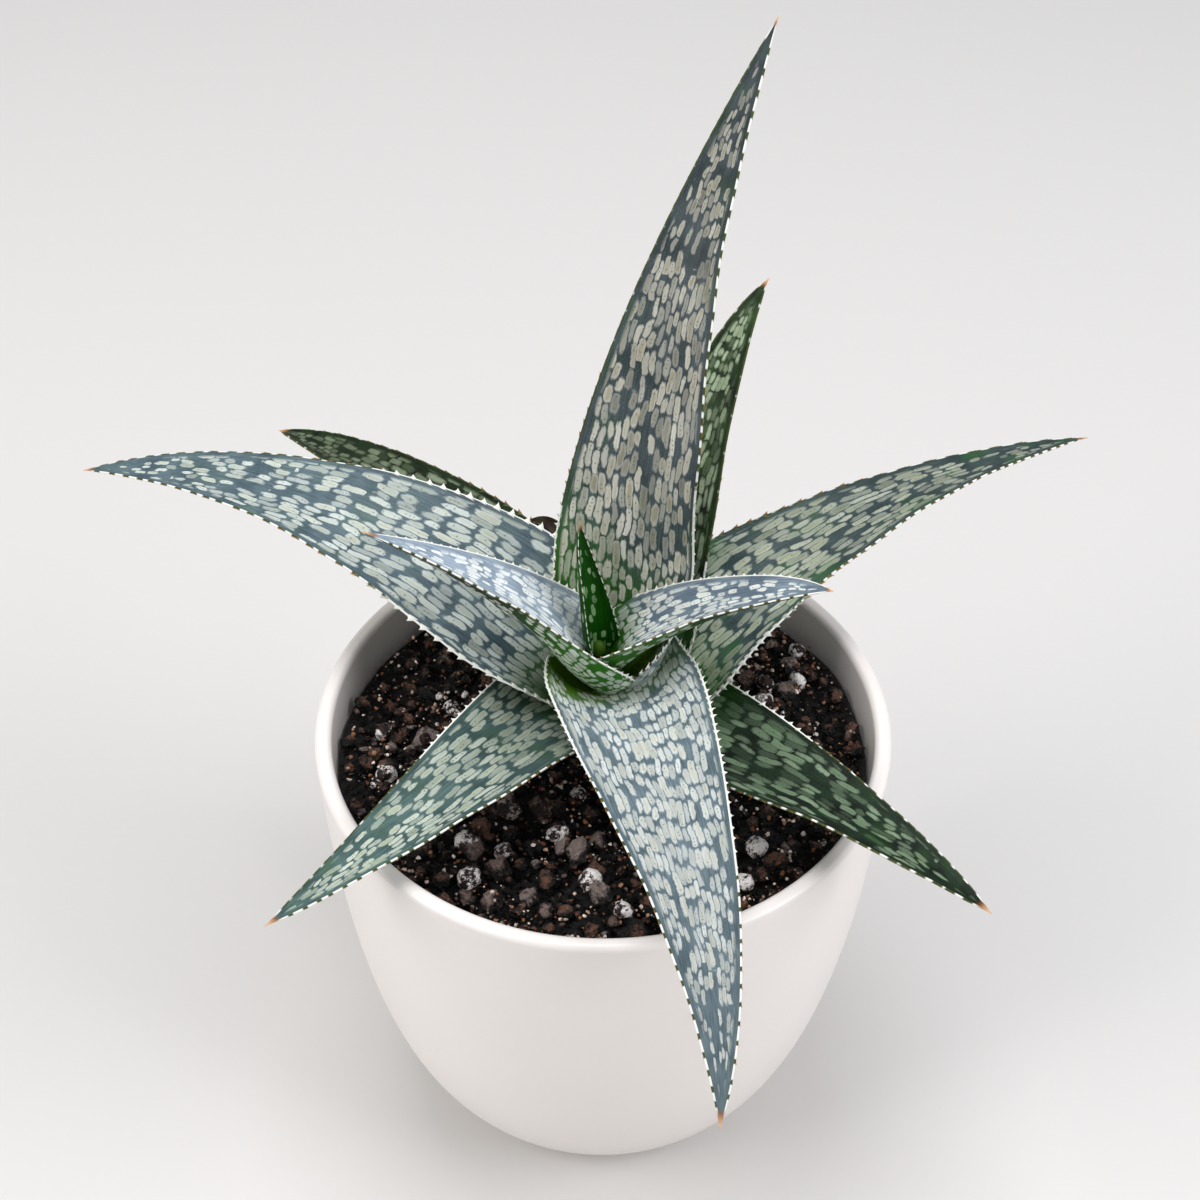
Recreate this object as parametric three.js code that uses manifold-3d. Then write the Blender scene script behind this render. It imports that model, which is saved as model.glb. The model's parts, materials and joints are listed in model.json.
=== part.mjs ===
// Potted white fox aloe: a rosette of spotted, toothed leaves in a plain white ceramic pot.
// Millimetres, +Z up. The origin is the centre of the pot's flat foot, and +Y is the plant's back.
import * as THREE from "three";
import { mergeVertices } from "three/addons/utils/BufferGeometryUtils.js";
import Module from "manifold-3d";

const wasm = await Module();
wasm.setup();

// Driving dimensions of the pot
const RIM_RADIUS = 60;
const POT_HEIGHT = 105.7;
const FOOT_RADIUS = 29;
const POT_WALL = 3.5;
const FLOOR_THICKNESS = 6;
const RIM_ROUND = 1.4;
// The wall's outline is one curve. It leaves the foot level, turning up over this width,
const FOOT_FLARE = 19;
// and arrives at the rim nearly upright, leaning out by this much above this share of the height.
const RIM_LEAN = 2;
const SHOULDER = 0.41;
const POT_SIDES = 48;
const OUTSIDE_STEPS = 11;
const HIDDEN_STEPS = 6;

// Driving dimensions of the soil
const SOIL_LEVEL = 98;
const SOIL_SINK = 1.2;
const CRUMBS = 20;
const CRUMB_RADIUS = [1.3, 2.6];
const CRUMB_REACH = [14, 50];
const PERLITE_RADIUS = 2.5;
const PERLITE_STANDS = 0.9;

// Driving dimensions of the plant
const AXIS = new THREE.Vector3(1.5, 8, 0);
const STEM_RADIUS = 9;
const STEM_FOOT = 82;
const STEM_TOP = 110;
const FIT_GAP = 0.3;
const MARGIN_THICKNESS = 0.6;
const TOOTH_PITCH = 4.4;
const TOOTH_HEIGHT = 1.0;
const TIP_HALF_WIDTH = 0.45;
// Where the lines along a leaf's faces lie, as shares of its half width
const COLUMNS = [0.55, 0, -0.55];
const WIDE_COLUMNS = [0.7, 0.35, 0, -0.35, -0.7];
// Places of a tooth's foot, point and heel along its pitch, and how far each stands out
const TOOTH_OUTLINE = [[0, 0], [0.4, TOOTH_HEIGHT], [0.65, 0]];

// Where each lump of white perlite lies on the soil, from above
const PERLITE = [
  [-45, -9.5], [-32, 9], [-37.5, 1], [-46.5, 3.5], [-27.5, -28], [-20, -30], [-26.5, -37.5], [-19, -19.5],
  [-12.5, -19.5], [-9, -25.5], [-2.5, -37.5], [-5, -15], [4, -44.5], [31, -29], [28, -38], [42.5, 28],
  [35, 18], [34.5, 12.5], [42, 18], [-20, 38], [4, 45], [24, 40],
];

// The leaves, from the bud outwards. Each one is a spine in an upright plane through the plant's
// axis, a width and a channelled section:
//   azimuth        heading of the leaf, in degrees from +X
//   start          [distance from the axis, height] of its base
//   rise, rising   angle at which it leaves the base and how far it keeps that heading
//   tip            [distance from the axis, height] of its tip
//   dip, dipping   angle at which it reaches the tip (down is negative) and over what length
//   bow, sweep     sideways shift of the outer half and of the tip
//   half           half of the greatest width, measured round the section
//   base, widest   width at the base as a share of half, and where along the leaf it is widest
//   taper          1 is a straight taper to the tip, more is a fuller one
//   clasp, unroll  half-angle of the section where it clasps the stem, and where that has opened
//   channel        half-angle of the section in the blade and at the tip, in radians
//   roll           turn of the section about the spine at base, middle and tip, in degrees
//   thick          thickness of the flesh in the middle of the blade
const LEAVES = [
  {
    name: "leaf_bud", azimuth: 134.5, start: [3.5, 112], rise: 82, rising: 14.5,
    tip: [6.5, 151], dip: 105, dipping: 11.5, bow: 0, sweep: 2.5,
    half: 5.25, base: 0.8, widest: 0.17, taper: 1.1, clasp: 1.5, unroll: 0.35,
    channel: [1.2, 1.0], roll: [2, -1, -2], thick: 1.4, color: 0x4f8f4a,
  },
  {
    name: "leaf_right_inner", azimuth: -3, start: [0.5, 115], rise: 78, rising: 13,
    tip: [44.5, 137.5], dip: -18, dipping: 11, bow: 0, sweep: 0,
    half: 10.5, base: 0.8, widest: 0.17, taper: 1.1, clasp: 1.4, unroll: 0.35,
    channel: [0.75, 0.35], roll: [-13, -3, 6], thick: 2.6, color: 0x93a5ac,
  },
  {
    name: "leaf_left_inner", azimuth: 184.5, start: [1, 111.5], rise: 54, rising: 18,
    tip: [49, 151.5], dip: 20, dipping: 31, bow: 0, sweep: -3,
    half: 12.25, base: 0.8, widest: 0.17, taper: 1.1, clasp: 1.4, unroll: 0.35,
    channel: [1.1, 0.35], roll: [7, 1, -2], thick: 3.2, color: 0x8fa3ad,
  },
  {
    name: "leaf_back_tall", azimuth: 65, start: [9, 109], rise: 90, rising: 50,
    tip: [69.5, 229.5], dip: 35, dipping: 62.5, bow: 0, sweep: -2.5,
    half: 16.5, base: 1.0, widest: 0.2, taper: 1.15, clasp: 2.8, unroll: 0.25,
    channel: [0.45, 0.35], roll: [-3, -7, 2], thick: 3.2, color: 0x7b898a,
  },
  {
    name: "leaf_front", azimuth: -78.5, start: [3, 108.5], rise: 38, rising: 26.5,
    tip: [109, 106], dip: -46, dipping: 31, bow: 4.5, sweep: -2.5,
    half: 17.75, base: 0.95, widest: 0.12, taper: 1.1, clasp: 1.3, unroll: 0.4,
    channel: [0.6, 0.35], roll: [-1, 2, 1], thick: 3.2, color: 0x8b9a9f,
  },
  {
    name: "leaf_left", azimuth: 155, start: [8, 108.5], rise: 48, rising: 44,
    tip: [128.5, 122.5], dip: -23, dipping: 38.5, bow: 0, sweep: 2.5,
    half: 18, base: 0.8, widest: 0.18, taper: 1.1, clasp: 1.3, unroll: 0.3,
    channel: [0.2, 0.35], roll: [-22, 1, -9], thick: 3.2, color: 0x7d8e93,
  },
  {
    name: "leaf_right", azimuth: 32, start: [8, 104], rise: 47, rising: 29.5,
    tip: [126.5, 122.5], dip: -14, dipping: 47.5, bow: 0, sweep: -2,
    half: 17, base: 0.9, widest: 0.14, taper: 1.0, clasp: 0.7, unroll: 0.35,
    channel: [0.4, 0.35], roll: [15, -7, -3], thick: 3.2, color: 0x76878a,
  },
  {
    name: "leaf_front_left", azimuth: -133, start: [7.5, 105], rise: 41, rising: 18.5,
    tip: [94, 113], dip: 5, dipping: 34, bow: 0, sweep: -0.5,
    half: 16, base: 0.75, widest: 0.17, taper: 1.1, clasp: 0.6, unroll: 0.35,
    channel: [0.6, 0.35], roll: [6, 7, -8], thick: 3.2, color: 0x6f8583,
  },
  {
    name: "leaf_front_right", azimuth: -42.5, start: [8, 102.5], rise: 35, rising: 22,
    tip: [97.5, 116], dip: -7, dipping: 24, bow: 0, sweep: -1.5,
    half: 15, base: 0.75, widest: 0.17, taper: 1.1, clasp: 0.6, unroll: 0.35,
    channel: [0.45, 0.35], roll: [5, -8, -3], thick: 3.2, color: 0x5c7767,
  },
  {
    name: "leaf_back_right", azimuth: 64, start: [9, 102], rise: 55, rising: 22.5,
    tip: [74.5, 165], dip: 3, dipping: 29.5, bow: 0, sweep: -1,
    half: 13.5, base: 0.7, widest: 0.17, taper: 1.1, clasp: 0.6, unroll: 0.35,
    channel: [0.5, 0.35], roll: [-4, -2, 0], thick: 3.2, color: 0x46604e,
  },
  {
    name: "leaf_back_left", azimuth: 131.5, start: [8, 101.5], rise: 48, rising: 40,
    tip: [116.5, 107], dip: -23, dipping: 15, bow: 0, sweep: 2.5,
    half: 14.5, base: 0.7, widest: 0.17, taper: 1.1, clasp: 0.6, unroll: 0.35,
    channel: [0.6, 0.35], roll: [-7, 3, 1], thick: 3.2, color: 0x496451,
  },
  {
    name: "leaf_withered", azimuth: 106.5, start: [8, 101], rise: 50, rising: 27,
    tip: [41, 123.5], dip: -52, dipping: 12, bow: 2, sweep: 8.5,
    half: 3.8, base: 0.8, widest: 0.2, taper: 1.6, clasp: 0.6, unroll: 0.35,
    channel: [0.5, 1.2], roll: [0, -6, -25], thick: 1.2, color: 0x4a3524,
  },
];

const UP = new THREE.Vector3(0, 0, 1);
const toRadians = THREE.MathUtils.degToRad;
const { clamp, lerp } = THREE.MathUtils;
const GOLDEN_TURN = Math.PI * (3 - Math.sqrt(5));

// Shared helpers

function seeded(seed) {
  let state = seed;
  return () => {
    state = (state * 1664525 + 1013904223) % 4294967296;
    return state / 4294967296;
  };
}

function toManifold(geometry) {
  const bare = new THREE.BufferGeometry();
  bare.setAttribute("position", geometry.getAttribute("position"));
  if (geometry.index) bare.setIndex(geometry.index);
  const joined = mergeVertices(bare, 1e-4);
  return new wasm.Manifold(new wasm.Mesh({
    numProp: 3,
    vertProperties: new Float32Array(joined.getAttribute("position").array),
    triVerts: new Uint32Array(joined.index.array),
  }));
}

function solidFrom(points, triangles) {
  return new wasm.Manifold(new wasm.Mesh({
    numProp: 3,
    vertProperties: new Float32Array(points.flatMap((p) => [p.x, p.y, p.z])),
    triVerts: new Uint32Array(triangles.flat()),
  }));
}

function toMesh(solid, name, color, roughness) {
  const { vertProperties, triVerts } = solid.getMesh();
  const geometry = new THREE.BufferGeometry();
  geometry.setAttribute("position", new THREE.BufferAttribute(vertProperties, 3));
  geometry.setIndex(new THREE.BufferAttribute(triVerts, 1));
  geometry.computeVertexNormals();
  const material = new THREE.MeshStandardMaterial({ color, roughness, metalness: 0 });
  const mesh = new THREE.Mesh(geometry, material);
  mesh.name = name;
  return mesh;
}

function largestPiece(solid) {
  const pieces = solid.decompose();
  pieces.sort((a, b) => b.volume() - a.volume());
  return pieces[0];
}

function turned(profile) {
  const lathe = new THREE.LatheGeometry(profile, POT_SIDES);
  lathe.rotateX(Math.PI / 2);
  return toManifold(lathe);
}

// The pot: a bowl of revolution, standing on a flat foot, with a rounded rim

function wallCurve(inset) {
  return new THREE.CubicBezierCurve(
    new THREE.Vector2(FOOT_RADIUS - inset * 0.8, inset),
    new THREE.Vector2(FOOT_RADIUS + FOOT_FLARE - inset * 0.9, inset),
    new THREE.Vector2(RIM_RADIUS - RIM_LEAN - inset, POT_HEIGHT * SHOULDER + inset * 0.5),
    new THREE.Vector2(RIM_RADIUS - inset, POT_HEIGHT),
  );
}

function rimArc(radius, centreX, from, to) {
  const points = [];
  for (let i = 0; i <= 3; i++) {
    const angle = toRadians(from + (to - from) * i / 3);
    points.push(new THREE.Vector2(
      centreX + radius * Math.cos(angle),
      POT_HEIGHT - radius + radius * Math.sin(angle),
    ));
  }
  return points;
}

function potSolid() {
  const belowRim = (p) => p.y < POT_HEIGHT - RIM_ROUND - 0.5;
  const outside = wallCurve(0).getPoints(OUTSIDE_STEPS).filter(belowRim);
  const inside = wallCurve(POT_WALL).getPoints(HIDDEN_STEPS).filter(belowRim).reverse();
  inside.pop();
  const floor = [
    new THREE.Vector2(FOOT_RADIUS - POT_WALL, FLOOR_THICKNESS),
    new THREE.Vector2(0, FLOOR_THICKNESS),
  ];
  return turned([
    new THREE.Vector2(0, 0),
    ...outside,
    ...rimArc(RIM_ROUND, RIM_RADIUS - RIM_ROUND, 0, 90),
    ...rimArc(RIM_ROUND, RIM_RADIUS - POT_WALL + RIM_ROUND, 90, 180),
    ...inside.filter((p) => p.y > FLOOR_THICKNESS + 1),
    ...floor,
  ]);
}

// The soil: it fills the pot to below the rim, with crumbs and perlite standing out of its top

function lump(x, y, z, radius, squash, random) {
  const ball = new THREE.IcosahedronGeometry(radius, 0);
  ball.scale(1, 0.85 + 0.3 * random(), squash);
  ball.rotateZ(random() * Math.PI);
  ball.rotateX(random() * 0.8);
  ball.translate(x, y, z);
  return toManifold(ball);
}

function soilHeight(x, y) {
  const ripple = Math.sin(x * 0.21 + 1.3) * Math.cos(y * 0.17 - 0.4) + 0.6 * Math.sin(x * 0.09 - y * 0.13);
  const rim = Math.hypot(x, y) / (RIM_RADIUS - POT_WALL);
  return SOIL_LEVEL + 0.8 * ripple - SOIL_SINK * rim ** 4;
}

function soilSolid() {
  const inset = POT_WALL + FIT_GAP;
  const foot = FLOOR_THICKNESS + FIT_GAP;
  const wall = wallCurve(inset).getPoints(HIDDEN_STEPS).filter((p) => {
    return p.y > foot + 1 && p.y < SOIL_LEVEL - 4;
  });
  const body = turned([
    new THREE.Vector2(0, foot),
    new THREE.Vector2(FOOT_RADIUS - inset - 0.5, foot),
    ...wall,
    new THREE.Vector2(wallCurve(inset).getPoint(0.97).x - 0.3, SOIL_LEVEL + 4),
    new THREE.Vector2(0, SOIL_LEVEL + 4),
  ]);
  const random = seeded(11);
  const lumps = [];
  PERLITE.forEach(([x, y]) => {
    const size = PERLITE_RADIUS * (0.85 + 0.3 * random());
    lumps.push(lump(x, y, soilHeight(x, y) + PERLITE_STANDS, size, 0.9, random));
  });
  for (let i = 0; i < CRUMBS; i++) {
    const turn = i * GOLDEN_TURN;
    const reach = lerp(...CRUMB_REACH, Math.sqrt((i + 0.5) / CRUMBS));
    const size = lerp(...CRUMB_RADIUS, random());
    const x = reach * Math.cos(turn);
    const y = reach * Math.sin(turn);
    lumps.push(lump(x, y, soilHeight(x, y) + 0.25 * size, size, 0.75, random));
  }
  return wasm.Manifold.union([body.subtract(soilLid()), ...lumps]);
}

// Everything above the bumpy top of the soil, as a solid to cut away
function soilLid() {
  const across = 2 * RIM_RADIUS;
  const slab = new THREE.BoxGeometry(across, across, 30, 20, 20, 1);
  slab.translate(0, 0, SOIL_LEVEL + 15);
  const place = slab.getAttribute("position");
  for (let i = 0; i < place.count; i++) {
    if (place.getZ(i) < SOIL_LEVEL + 1) {
      place.setZ(i, soilHeight(place.getX(i), place.getY(i)));
    }
  }
  return toManifold(slab);
}

function stemSolid(radius, foot, top) {
  const post = new THREE.CylinderGeometry(radius * 0.92, radius, top - foot, 20);
  post.rotateX(Math.PI / 2);
  post.translate(AXIS.x, AXIS.y, (foot + top) / 2);
  return toManifold(post);
}

// A leaf's spine and the frame carried along it

function leafFrame(leaf) {
  const heading = toRadians(leaf.azimuth);
  const out = new THREE.Vector3(Math.cos(heading), Math.sin(heading), 0);
  const side = new THREE.Vector3(-Math.sin(heading), Math.cos(heading), 0);
  const place = (reach, aside, height) => AXIS.clone()
    .addScaledVector(out, reach)
    .addScaledVector(side, aside)
    .addScaledVector(UP, height);
  const rise = toRadians(leaf.rise);
  const dip = toRadians(leaf.dip);
  const [startReach, startHeight] = leaf.start;
  const [tipReach, tipHeight] = leaf.tip;
  const spine = new THREE.CubicBezierCurve3(
    place(startReach, 0, startHeight),
    place(startReach + leaf.rising * Math.cos(rise), 0, startHeight + leaf.rising * Math.sin(rise)),
    place(tipReach - leaf.dipping * Math.cos(dip), leaf.bow, tipHeight - leaf.dipping * Math.sin(dip)),
    place(tipReach, leaf.sweep, tipHeight),
  );
  return (t) => {
    const along = spine.getTangent(t);
    const across = side.clone().addScaledVector(along, -side.dot(along)).normalize();
    const inward = along.clone().cross(across);
    const [r0, r1, r2] = leaf.roll;
    const roll = toRadians(r0 * (1 - t) ** 2 + r1 * 2 * t * (1 - t) + r2 * t * t);
    const sideways = across.clone().multiplyScalar(Math.cos(roll)).addScaledVector(inward, Math.sin(roll));
    const normal = inward.clone().multiplyScalar(Math.cos(roll)).addScaledVector(across, -Math.sin(roll));
    return { centre: spine.getPoint(t), along, sideways, normal, length: spine.getLength() };
  };
}

function halfWidth(leaf, t) {
  const opening = leaf.base + (1 - leaf.base) * Math.sin(clamp(t / leaf.widest, 0, 1) * Math.PI / 2);
  const closing = 1 - clamp((t - leaf.widest) / (1 - leaf.widest), 0, 1) ** leaf.taper;
  return Math.max(leaf.half * (t < leaf.widest ? opening : closing), TIP_HALF_WIDTH);
}

function sectionAngle(leaf, t) {
  const [blade, end] = leaf.channel;
  return blade + (end - blade) * t + (leaf.clasp - blade) * clamp(1 - t / leaf.unroll, 0, 1) ** 2;
}

// A point of the leaf's skin: v runs from -1 to 1 across it, and depth is 0 on the upper face
function skinPoint(frame, leaf, t, v, depth, grow) {
  const { centre, sideways, normal } = frame;
  const width = halfWidth(leaf, t);
  const bend = sectionAngle(leaf, t);
  const radius = width / bend;
  const angle = bend * v;
  const inward = normal.clone().multiplyScalar(Math.cos(angle)).addScaledVector(sideways, -Math.sin(angle));
  const flesh = leaf.thick * clamp(width / leaf.half, 0, 1) ** 0.8 * (1 - Math.abs(v) ** 2.2);
  const down = depth === 0 ? -grow : MARGIN_THICKNESS + flesh + grow;
  return centre.clone()
    .addScaledVector(sideways, radius * Math.sin(angle))
    .addScaledVector(normal, radius * (1 - Math.cos(angle)))
    .addScaledVector(inward, -down);
}

// A point of the toothed margin: jut is how far it stands out of the plain edge
function marginPoint(frame, leaf, t, end, depth, grow, jut) {
  const angle = sectionAngle(leaf, t) * end;
  const { sideways, normal } = frame;
  const outward = sideways.clone().multiplyScalar(Math.cos(angle)).addScaledVector(normal, Math.sin(angle));
  const point = skinPoint(frame, leaf, t, end, depth, grow);
  return point.addScaledVector(outward, end * (jut + grow));
}

// A whole leaf. The margins have three stations to a tooth: its foot, its point and its heel.
// The faces between them have one station to a tooth, at its foot.
function leafSolid(leaf, grow, toothed) {
  const frameAt = leafFrame(leaf);
  const length = frameAt(0).length;
  const teeth = Math.max(6, Math.round(length / TOOTH_PITCH));
  const columns = leaf.clasp > 2 ? WIDE_COLUMNS : COLUMNS;
  const points = [];
  const triangles = [];
  const add = (point) => points.push(point) - 1;
  const ends = [1, -1];
  const margins = { "1": [[], []], "-1": [[], []] };
  const faces = [columns.map(() => []), columns.map(() => [])];
  const shift = (i) => (i === 0 ? -grow : i === teeth ? grow : 0);
  for (let i = 0; i <= teeth; i++) {
    for (const [part, jut] of i < teeth ? TOOTH_OUTLINE : [[0, 0]]) {
      const t = (i + part) / teeth;
      const frame = frameAt(t);
      frame.centre.addScaledVector(frame.along, part === 0 ? shift(i) : 0);
      const plain = toothed ? jut : TOOTH_HEIGHT;
      ends.forEach((end) => [0, 1].forEach((depth) => {
        margins[end][depth].push(add(marginPoint(frame, leaf, t, end, depth, grow, plain)));
      }));
      if (part > 0) continue;
      [0, 1].forEach((depth) => columns.forEach((v, c) => {
        faces[depth][c].push(add(skinPoint(frame, leaf, t, v, depth, grow)));
      }));
    }
  }
  const flat = (a, b, c, d) => triangles.push([a, b, c], [a, c, d]);
  const facing = (depth, corners) => triangles.push(depth === 0 ? corners : corners.slice().reverse());
  for (let i = 0; i < teeth; i++) {
    for (let k = 3 * i; k < 3 * i + 3; k++) {
      const [[leftTop, leftLow], [rightTop, rightLow]] = [margins[1], margins[-1]];
      flat(leftTop[k], leftTop[k + 1], leftLow[k + 1], leftLow[k]);
      flat(rightTop[k], rightLow[k], rightLow[k + 1], rightTop[k + 1]);
    }
    [0, 1].forEach((depth) => {
      for (let c = 0; c + 1 < columns.length; c++) {
        const [near, far] = [faces[depth][c], faces[depth][c + 1]];
        facing(depth, [near[i], far[i], far[i + 1]]);
        facing(depth, [near[i], far[i + 1], near[i + 1]]);
      }
      ends.forEach((end) => {
        const edge = margins[end][depth].slice(3 * i, 3 * i + 4);
        const face = faces[depth][end === 1 ? 0 : columns.length - 1];
        const [a, b] = [face[i], face[i + 1]];
        const strip = [[a, edge[1], edge[0]], [a, edge[2], edge[1]], [a, b, edge[2]], [b, edge[3], edge[2]]];
        strip.forEach((corners) => facing(end === 1 ? depth : 1 - depth, corners));
      });
    });
  }
  capEnds(triangles, margins, faces);
  return solidFrom(points, triangles);
}

// Closes the base and the tip of a leaf, from the upper face to the lower one
function capEnds(triangles, margins, faces) {
  const row = (depth, k, i) => [
    margins[1][depth][k], ...faces[depth].map((column) => column[i]), margins[-1][depth][k],
  ];
  const lastMargin = margins[1][0].length - 1;
  const lastFace = faces[0][0].length - 1;
  const closeWith = (upper, lower) => {
    for (let j = 0; j + 1 < upper.length; j++) {
      triangles.push([upper[j], lower[j], lower[j + 1]]);
      triangles.push([upper[j], lower[j + 1], upper[j + 1]]);
    }
  };
  closeWith(row(0, 0, 0), row(1, 0, 0));
  closeWith(row(1, lastMargin, lastFace), row(0, lastMargin, lastFace));
}

// Builds the plant from the bud outwards: what lies inside is cut, with a gap, from what clasps it

function buildPlant() {
  const group = new THREE.Group();
  const grown = [];
  for (const leaf of LEAVES) {
    let solid = leafSolid(leaf, 0, true);
    for (const inner of grown) {
      solid = solid.subtract(inner);
    }
    solid = largestPiece(solid).simplify(0.02);
    grown.push(leafSolid(leaf, FIT_GAP, false));
    group.add(toMesh(solid, leaf.name, leaf.color, 0.5));
  }
  let stem = stemSolid(STEM_RADIUS, STEM_FOOT, STEM_TOP);
  for (const inner of grown) {
    stem = stem.subtract(inner);
  }
  stem = largestPiece(stem).simplify(0.02);
  group.add(toMesh(stem, "stem", 0x6b5a3c, 0.85));
  return group;
}

function buildPot() {
  const group = new THREE.Group();
  group.add(toMesh(potSolid(), "pot", 0xf2efec, 0.35));
  const hole = stemSolid(STEM_RADIUS + FIT_GAP, STEM_FOOT - FIT_GAP, STEM_TOP);
  const soil = largestPiece(soilSolid().subtract(hole)).simplify(0.02);
  group.add(toMesh(soil, "soil", 0x2a1f18, 0.95));
  return group;
}

const aloe = new THREE.Group();
aloe.add(buildPot(), buildPlant());

export default aloe;
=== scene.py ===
"""Potted white fox aloe: the finish of its leaves, potting mix and pot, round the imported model."""
import json
import math
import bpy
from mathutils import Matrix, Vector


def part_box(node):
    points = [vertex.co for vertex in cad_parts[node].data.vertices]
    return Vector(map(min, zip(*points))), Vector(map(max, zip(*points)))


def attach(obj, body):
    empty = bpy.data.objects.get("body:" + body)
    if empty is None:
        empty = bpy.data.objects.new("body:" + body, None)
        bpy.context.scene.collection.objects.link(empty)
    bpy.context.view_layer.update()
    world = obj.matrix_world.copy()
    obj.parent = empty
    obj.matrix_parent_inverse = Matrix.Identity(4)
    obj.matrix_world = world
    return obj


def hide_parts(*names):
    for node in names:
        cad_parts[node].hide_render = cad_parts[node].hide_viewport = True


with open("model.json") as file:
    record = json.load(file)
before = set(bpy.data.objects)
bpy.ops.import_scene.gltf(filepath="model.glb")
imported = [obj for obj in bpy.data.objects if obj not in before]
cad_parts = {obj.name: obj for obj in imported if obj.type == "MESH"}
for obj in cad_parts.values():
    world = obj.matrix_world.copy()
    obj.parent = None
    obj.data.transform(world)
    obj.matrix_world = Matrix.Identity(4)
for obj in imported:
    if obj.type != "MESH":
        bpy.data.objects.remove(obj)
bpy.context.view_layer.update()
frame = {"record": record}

from types import SimpleNamespace

import bpy
import numpy as np
from mathutils import Matrix, Vector

bl_info = {
    "name": "Potted White Fox Aloe",
    "version": (1, 0, 0),
    "blender": (4, 5, 0),
    "location": "View3D > Sidebar > Aloe",
    "description": "Builds a potted aloe with spotted, toothed leaves over its construction model",
    "category": "Add Mesh",
}

MM = 0.001
POT_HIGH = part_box("pot")[1]

# The pot's outline, as in the construction model, in millimetres. SHOULDER is the share of the height at
# which the wall's curve straightens up
RIM_RADIUS = POT_HIGH.x / MM
POT_HEIGHT = POT_HIGH.z / MM
FOOT_RADIUS = 29.0
FOOT_FLARE = 19.0
RIM_LEAN = 2.0
SHOULDER = 0.41
POT_WALL = 3.5
FLOOR_THICKNESS = 6.0
RIM_ROUND = 1.4
FIT_GAP = 0.3

# The potting mix, in millimetres: its level, how much lower it lies at the wall, and how far it has settled
SOIL_LEVEL = 98.0
SOIL_SINK = 1.2
SOIL_SETTLED = 0.3
# Grains of perlite that lie on the mix: place, radius, and how brown with dust
PERLITE = [
    (-45, -9.5, 2.6, 0.2), (-32, 9, 1.9, 0.3), (-37.5, 1, 1.7, 0.6), (-46.5, 3.5, 1.9, 0.5),
    (-27.5, -28, 2.2, 0.3), (-20, -30, 2.0, 0.0), (-26.5, -37.5, 2.3, 0.3), (-19, -19.5, 2.3, 0.75),
    (-12.5, -19.5, 2.4, 1.0), (-9, -25.5, 2.3, 0.35), (-2.5, -37.5, 2.4, 0.1), (-5, -15, 1.6, 0.4),
    (4, -44.5, 2.1, 0.2), (31, -29, 2.4, 0.0), (28, -38, 1.9, 0.1), (42.5, 28, 2.0, 0.1),
    (35, 18, 2.1, 0.5), (34.5, 12.5, 1.9, 0.3), (42, 18, 2.1, 0.2), (-20, 38, 2.3, 0.3),
    (4, 45, 2.0, 0.2), (24, 40, 2.4, 0.1),
]

# The plant, in millimetres
AXIS = np.array([1.5, 8.0, 0.0])
STEM_RADIUS = 9.0
STEM_FOOT = 82.0
STEM_TOP = 110.0
# The growing point, creased where its young leaves meet, and the youngest leaf at the foot of the bud
# leaf: name, middle, half length, half breadth, lean to the right in degrees and depth of the crease
GROWING = [
    ("stem_growing_point", (7.3, 8.6, 114.2), 9.3, 3.9, 33.0, 0.4),
    ("stem_youngest_leaf", (-1.0, 11.0, 115.6), 2.3, 1.55, -8.0, 0.0),
]

# What all leaves share, in millimetres
MARGIN_THICKNESS = 0.44
LEAST_HALF_WIDTH = 0.1
STATION_STEP = 0.6
BEAD_REACH = 0.3
SKIN_ROOM = 211.0
UNDERSIDE_PLACE = 90
TEETH_FROM_BASE = 2.0
TEETH_FROM_TIP = 4.0
# How many columns of faces a blade has, and how many steps its round edge
FACE_COLUMNS = 34
BEAD_STEPS = 4
# The directions in which a collar climbs and a wing is laid back
COLLAR_WAY = np.array([0.0, 0.45, 1.0])
SWING_WAY = np.array([0.0, 0.73, -0.69])

# The leaves, from the bud outwards, by the same rule as in the construction model, in millimetres and
# degrees. A leaf points to its azimuth. Its spine runs from start to tip, given as distance from the axis
# and height: it sets out at the slope rise, held for about rising, comes in at the slope dip, held for
# about dipping, and bends sideways by bow and sweep. half is half of its greatest width, which it has at
# the share widest of the spine, base the share of it at the base, and taper how late it narrows. The
# section is an arc: channel is its half angle in radians in the blade and at the tip, clasp at the base,
# and unroll where the clasp ends. roll turns it at base, middle and tip, and thick is the flesh in its
# middle. look names the skin.
# Right and left are as seen from the leaf's tip, and a pair gives the right margin first. teeth is their
# spacing near the base and further out on the two margins, tooth their scale, dashes how far from the base
# the margins start to be broken and worn how wide the breaks are. collar is how high the base climbs the
# heart, swing how far the left wing is laid back to make room for an inner leaf, young how much further up
# the right side is green, or the left one if below 0, and crowd how much the spots draw together at the
# base.
USUAL_LEAF = dict(bow=0, base=0.8, widest=0.17, taper=1.1, clasp=0.6, unroll=0.35, thick=3.2,
                  worn=(1, 1), collar=0, swing=0, young=0, crowd=5)
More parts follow.
